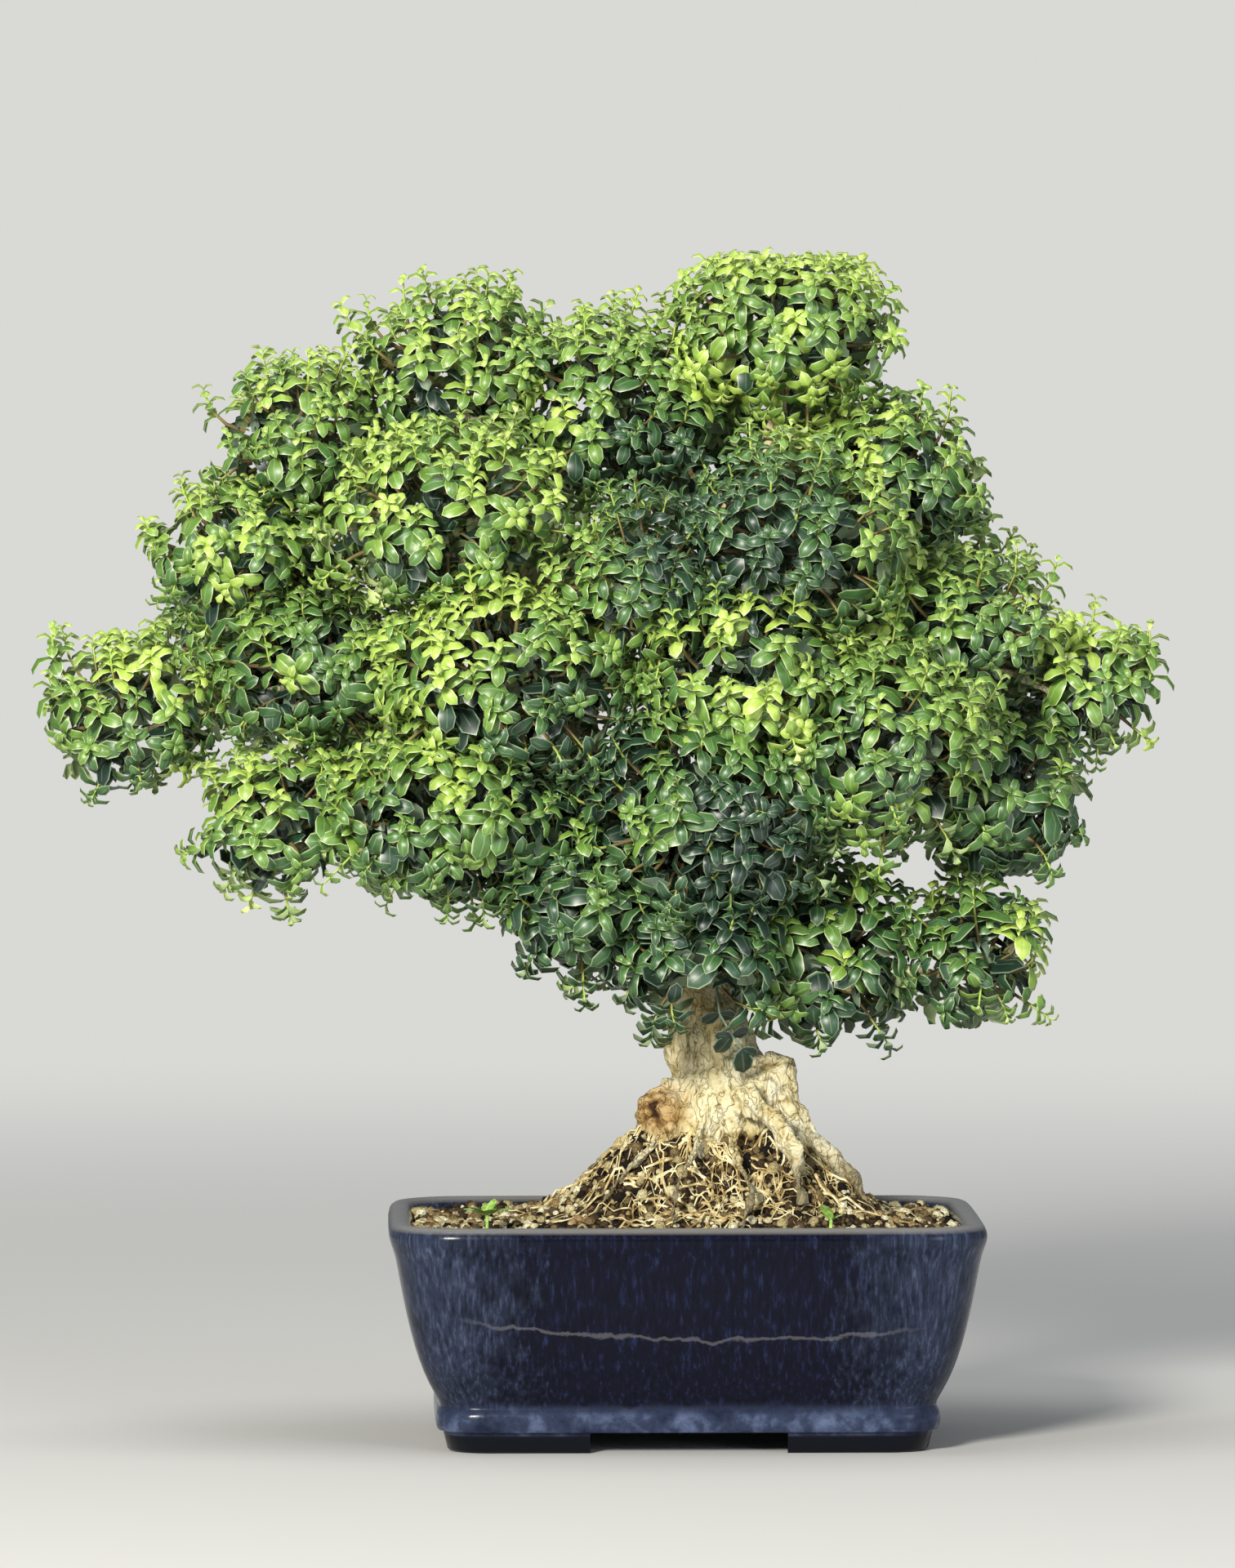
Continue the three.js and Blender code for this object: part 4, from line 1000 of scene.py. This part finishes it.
leaf_finish, twig_finish = leaf_skin(), twig_bark()
leaf_shapes = kept_aside("leaf_shapes", [
    leaf_shape("leaf_0_young", 0.17, 70, 110, 0.6),
    leaf_shape("leaf_1_grown", 0.2, 58, 98, 0.5),
    leaf_shape("leaf_2_old", 0.25, 30, 70, 0.3),
    leaf_shape("leaf_3_inner", 0.3, 12, 35, 0.2, ((0.28, 0.9), (0.72, 0.9))),
])
tone_spots = kept_aside("tone_spots", [
    new_piece("spots", [on_pot(*p) * Vector(FLATTENED) for p in places]) for places in (VIGOROUS, SHADED_HOLLOWS)])
shoots = shoot_tree()
twig_parts = []
for index, (name, (tone, leaf_length)) in enumerate(PADS.items()):
    surface = pad_surface(name, index)
    spacing = BACK_SPACING if name.startswith("back") else SHOOT_SPACING
    values = dict(
        Leaves=leaf_shapes, Spacing=spacing * MM, Reach=SHOOT_REACH * MM, Length=leaf_length * MM,
        Heart=pad_body(name)[0], Low=Vector(cad_box[0]) + OUTER_ROOM, High=Vector(cad_box[1]) - OUTER_ROOM,
        Tone=tone, Vigorous=tone_spots.objects[0], Sheltered=tone_spots.objects[1], Seed=index)
    leaves = run_tree(shoots, "leaves_" + name, surface, Twigs=False, Material=leaf_finish, **values)
    finish_piece(leaves, leaf_finish, "leaf", "foliage_" + name)
    twig_parts.append(run_tree(shoots, "twig_part", surface, Twigs=True, Material=twig_finish, **values))
finish_piece(joined("twigs", twig_parts), twig_finish, "bark")

# The hanging shoot
# One weak old shoot, a woody twig under a millimetre thick, hangs from the lowest pad in front of the trunk.
# It grew there in the shade, and carries a few deep green leaves, made almost black as painted shade.
HANGING_STEM = [(7, -17, 122), (8.4, -20, 110), (11.5, -20.5, 104.5), (14, -20, 101)]
HANGING_RADIUS = 0.4
# Each leaf's place on the stem, its angle from level in the picture, in degrees, and its length in mm.
HANGING_LEAVES = [(1, 215, 5.5), (1, -25, 5), (2, 185, 4.5), (2, 5, 5), (2, 240, 7), (3, -78, 8.5),
                  (3, -35, 5.5)]


def set_leaf(half_width, rise_and_fall, cup, place, stance, length):
    """A single leaf, turned to its stance and set on its stem."""
    leaf = leaf_shape("blade", half_width, *rise_and_fall, cup)
    leaf.data.transform(Matrix.Translation(place) @ stance @ Matrix.Scale(length * MM, 4))
    return leaf


def make_hanging_shoot():
    places = [on_pot(*p) for p in HANGING_STEM]
    parts = [loft("stem", [circle(p, HANGING_RADIUS * MM, 5) for p in places])]
    facing = Vector((0.2, -0.9, -0.39)).normalized()
    for step, angle, length in HANGING_LEAVES:
        along = Vector((math.cos(math.radians(angle)), 0, math.sin(math.radians(angle))))
        across = facing.cross(along).normalized()
        stance = Matrix((across.cross(facing), across, facing)).transposed().to_4x4()
        parts.append(set_leaf(0.33, (10, 35), 0.2, places[step], stance, length))
    shoot = joined("hanging_shoot", parts)
    # Tone 0 gives the deepest leaf colour: painted shade for leaves that hang in shadow under the lowest pad.
    shoot.data.attributes.new("tone", "FLOAT", "POINT")  # 0 all over: the darkest leaf
    finish_piece(shoot, leaf_finish, "leaf")


make_hanging_shoot()

# The seedlings
# Two weeds that came up in the damp soil: a thin stem with a few soft round leaves.
# Each leaf is given by its turn about the stem and its lean up from level, in degrees, and its length in mm.
SEEDLINGS = {
    "seedling_left": [(10, 22, 7.2), (80, 35, 6.4), (150, 20, 7.2), (215, 30, 6.6), (290, 25, 7),
                      (40, 65, 5)],
    "seedling_right": [(235, 55, 6), (20, 30, 3.6), (170, 35, 3.4)],
}
STEM_SHARES = {"seedling_left": 1, "seedling_right": 0.6}  # of the node's height
STEM_RADIUS = 0.45

# Soft new growth: bright yellow green, thin and a little glossy, with veins 1.2 mm apart.
seedling_finish = flecked("seedling_leaf", 1.2, [(0.35, "#7aa845"), (0.65, "#bfe07c")],
                          Roughness=0.5, IOR=1.42)
for name, leaves in SEEDLINGS.items():
    low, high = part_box(name)
    foot = Vector(((low.x + high.x) / 2, (low.y + high.y) / 2, low.z))
    top = Vector((foot.x, foot.y, low.z + (high.z - low.z) * STEM_SHARES[name]))
    parts = [loft("stem", [circle(end, STEM_RADIUS * MM, 6) for end in (foot, top)])]
    for turn, lean, length in leaves:
        stance = Matrix.Rotation(math.radians(turn), 4, "Z") @ Matrix.Rotation(-math.radians(lean), 4, "Y")
        parts.append(set_leaf(0.3, (12, 30), 0.1, top, stance, length))
    finish_piece(joined(name + "_plant", parts), seedling_finish, "seedling", name)

# The studio
# A plain pale floor that fades into the backdrop, a large soft key from the upper left, a soft top and fill.
BACKDROP = "#d9d9d6"
FLOOR_RADIUS = 6.0
LIT_HEIGHT = 0.16  # where on the object the lights aim


def make_floor():
    floor = new_piece("floor", circle(Vector(), FLOOR_RADIUS, 64), [tuple(range(64))], smooth=False)
    material, n = new_material("matt_paper", Roughness=0.9, Specular_IOR_Level=0.1,
                               Base_Color=linear(BACKDROP))
    nodes = material.node_tree.nodes
    away = n("VectorMath.LENGTH", n("TexCoord", out="Object"), out="Value")
    fade = n("MapRange", away, 0.3, 1.6, interpolation_type="SMOOTHSTEP")
    mix = n("MixShader", fade, nodes["Principled BSDF"].outputs[0], n("BsdfTransparent"))
    material.node_tree.links.new(mix, nodes["Material Output"].inputs["Surface"])
    floor.data.materials.append(material)


def soft_light(name, place, size, power, colour):
    lamp = bpy.data.lights.new(name, "AREA")
    lamp.shape = "DISK"
    lamp.size = size
    lamp.energy = power
    lamp.color = linear(colour)[:3]
    holder = bpy.data.objects.new(name, lamp)
    holder.location = place
    holder.rotation_euler = (Vector((0, 0, LIT_HEIGHT)) - Vector(place)).to_track_quat("-Z", "Y").to_euler()
    in_scene.link(holder)


make_floor()
soft_light("key", (-0.8, -2.1, 0.95), 0.5, 72, "#fffaf0")
soft_light("top", (-0.2, -0.1, 2.0), 0.8, 10, "#ffffff")
soft_light("fill", (1.4, -1.9, 0.6), 1.0, 13, "#f1f5ff")

world = bpy.data.worlds.new("studio")
world.use_nodes = True
bpy.context.scene.world = world
ambient = world.node_tree.nodes["Background"]
ambient.inputs["Color"].default_value = linear("#e8ecf2")
ambient.inputs["Strength"].default_value = 0.3
seen = add(world.node_tree, "Background", Color=linear(BACKDROP), Strength=1.0)
direct = add(world.node_tree, "LightPath", out="Is Camera Ray")
both = add(world.node_tree, "MixShader", direct, ambient.outputs[0], seen)
world.node_tree.links.new(both, world.node_tree.nodes["World Output"].inputs["Surface"])
bpy.context.scene.view_settings.view_transform = "Standard"

# The camera stands 3 m in front at the height of the crown, as the photograph was taken.
camera_data = bpy.data.cameras.new("camera")
camera_data.sensor_width = 36
camera_data.lens = 269.5
camera_data.clip_start, camera_data.clip_end = 0.1, 50
camera = bpy.data.objects.new("camera", camera_data)
in_scene.link(camera)
camera.location = on_pot(-85, -3000, 284)
camera.rotation_euler = (on_pot(-17.1, 0, 167.6) - camera.location).to_track_quat("-Z", "Y").to_euler()
bpy.context.scene.camera = camera
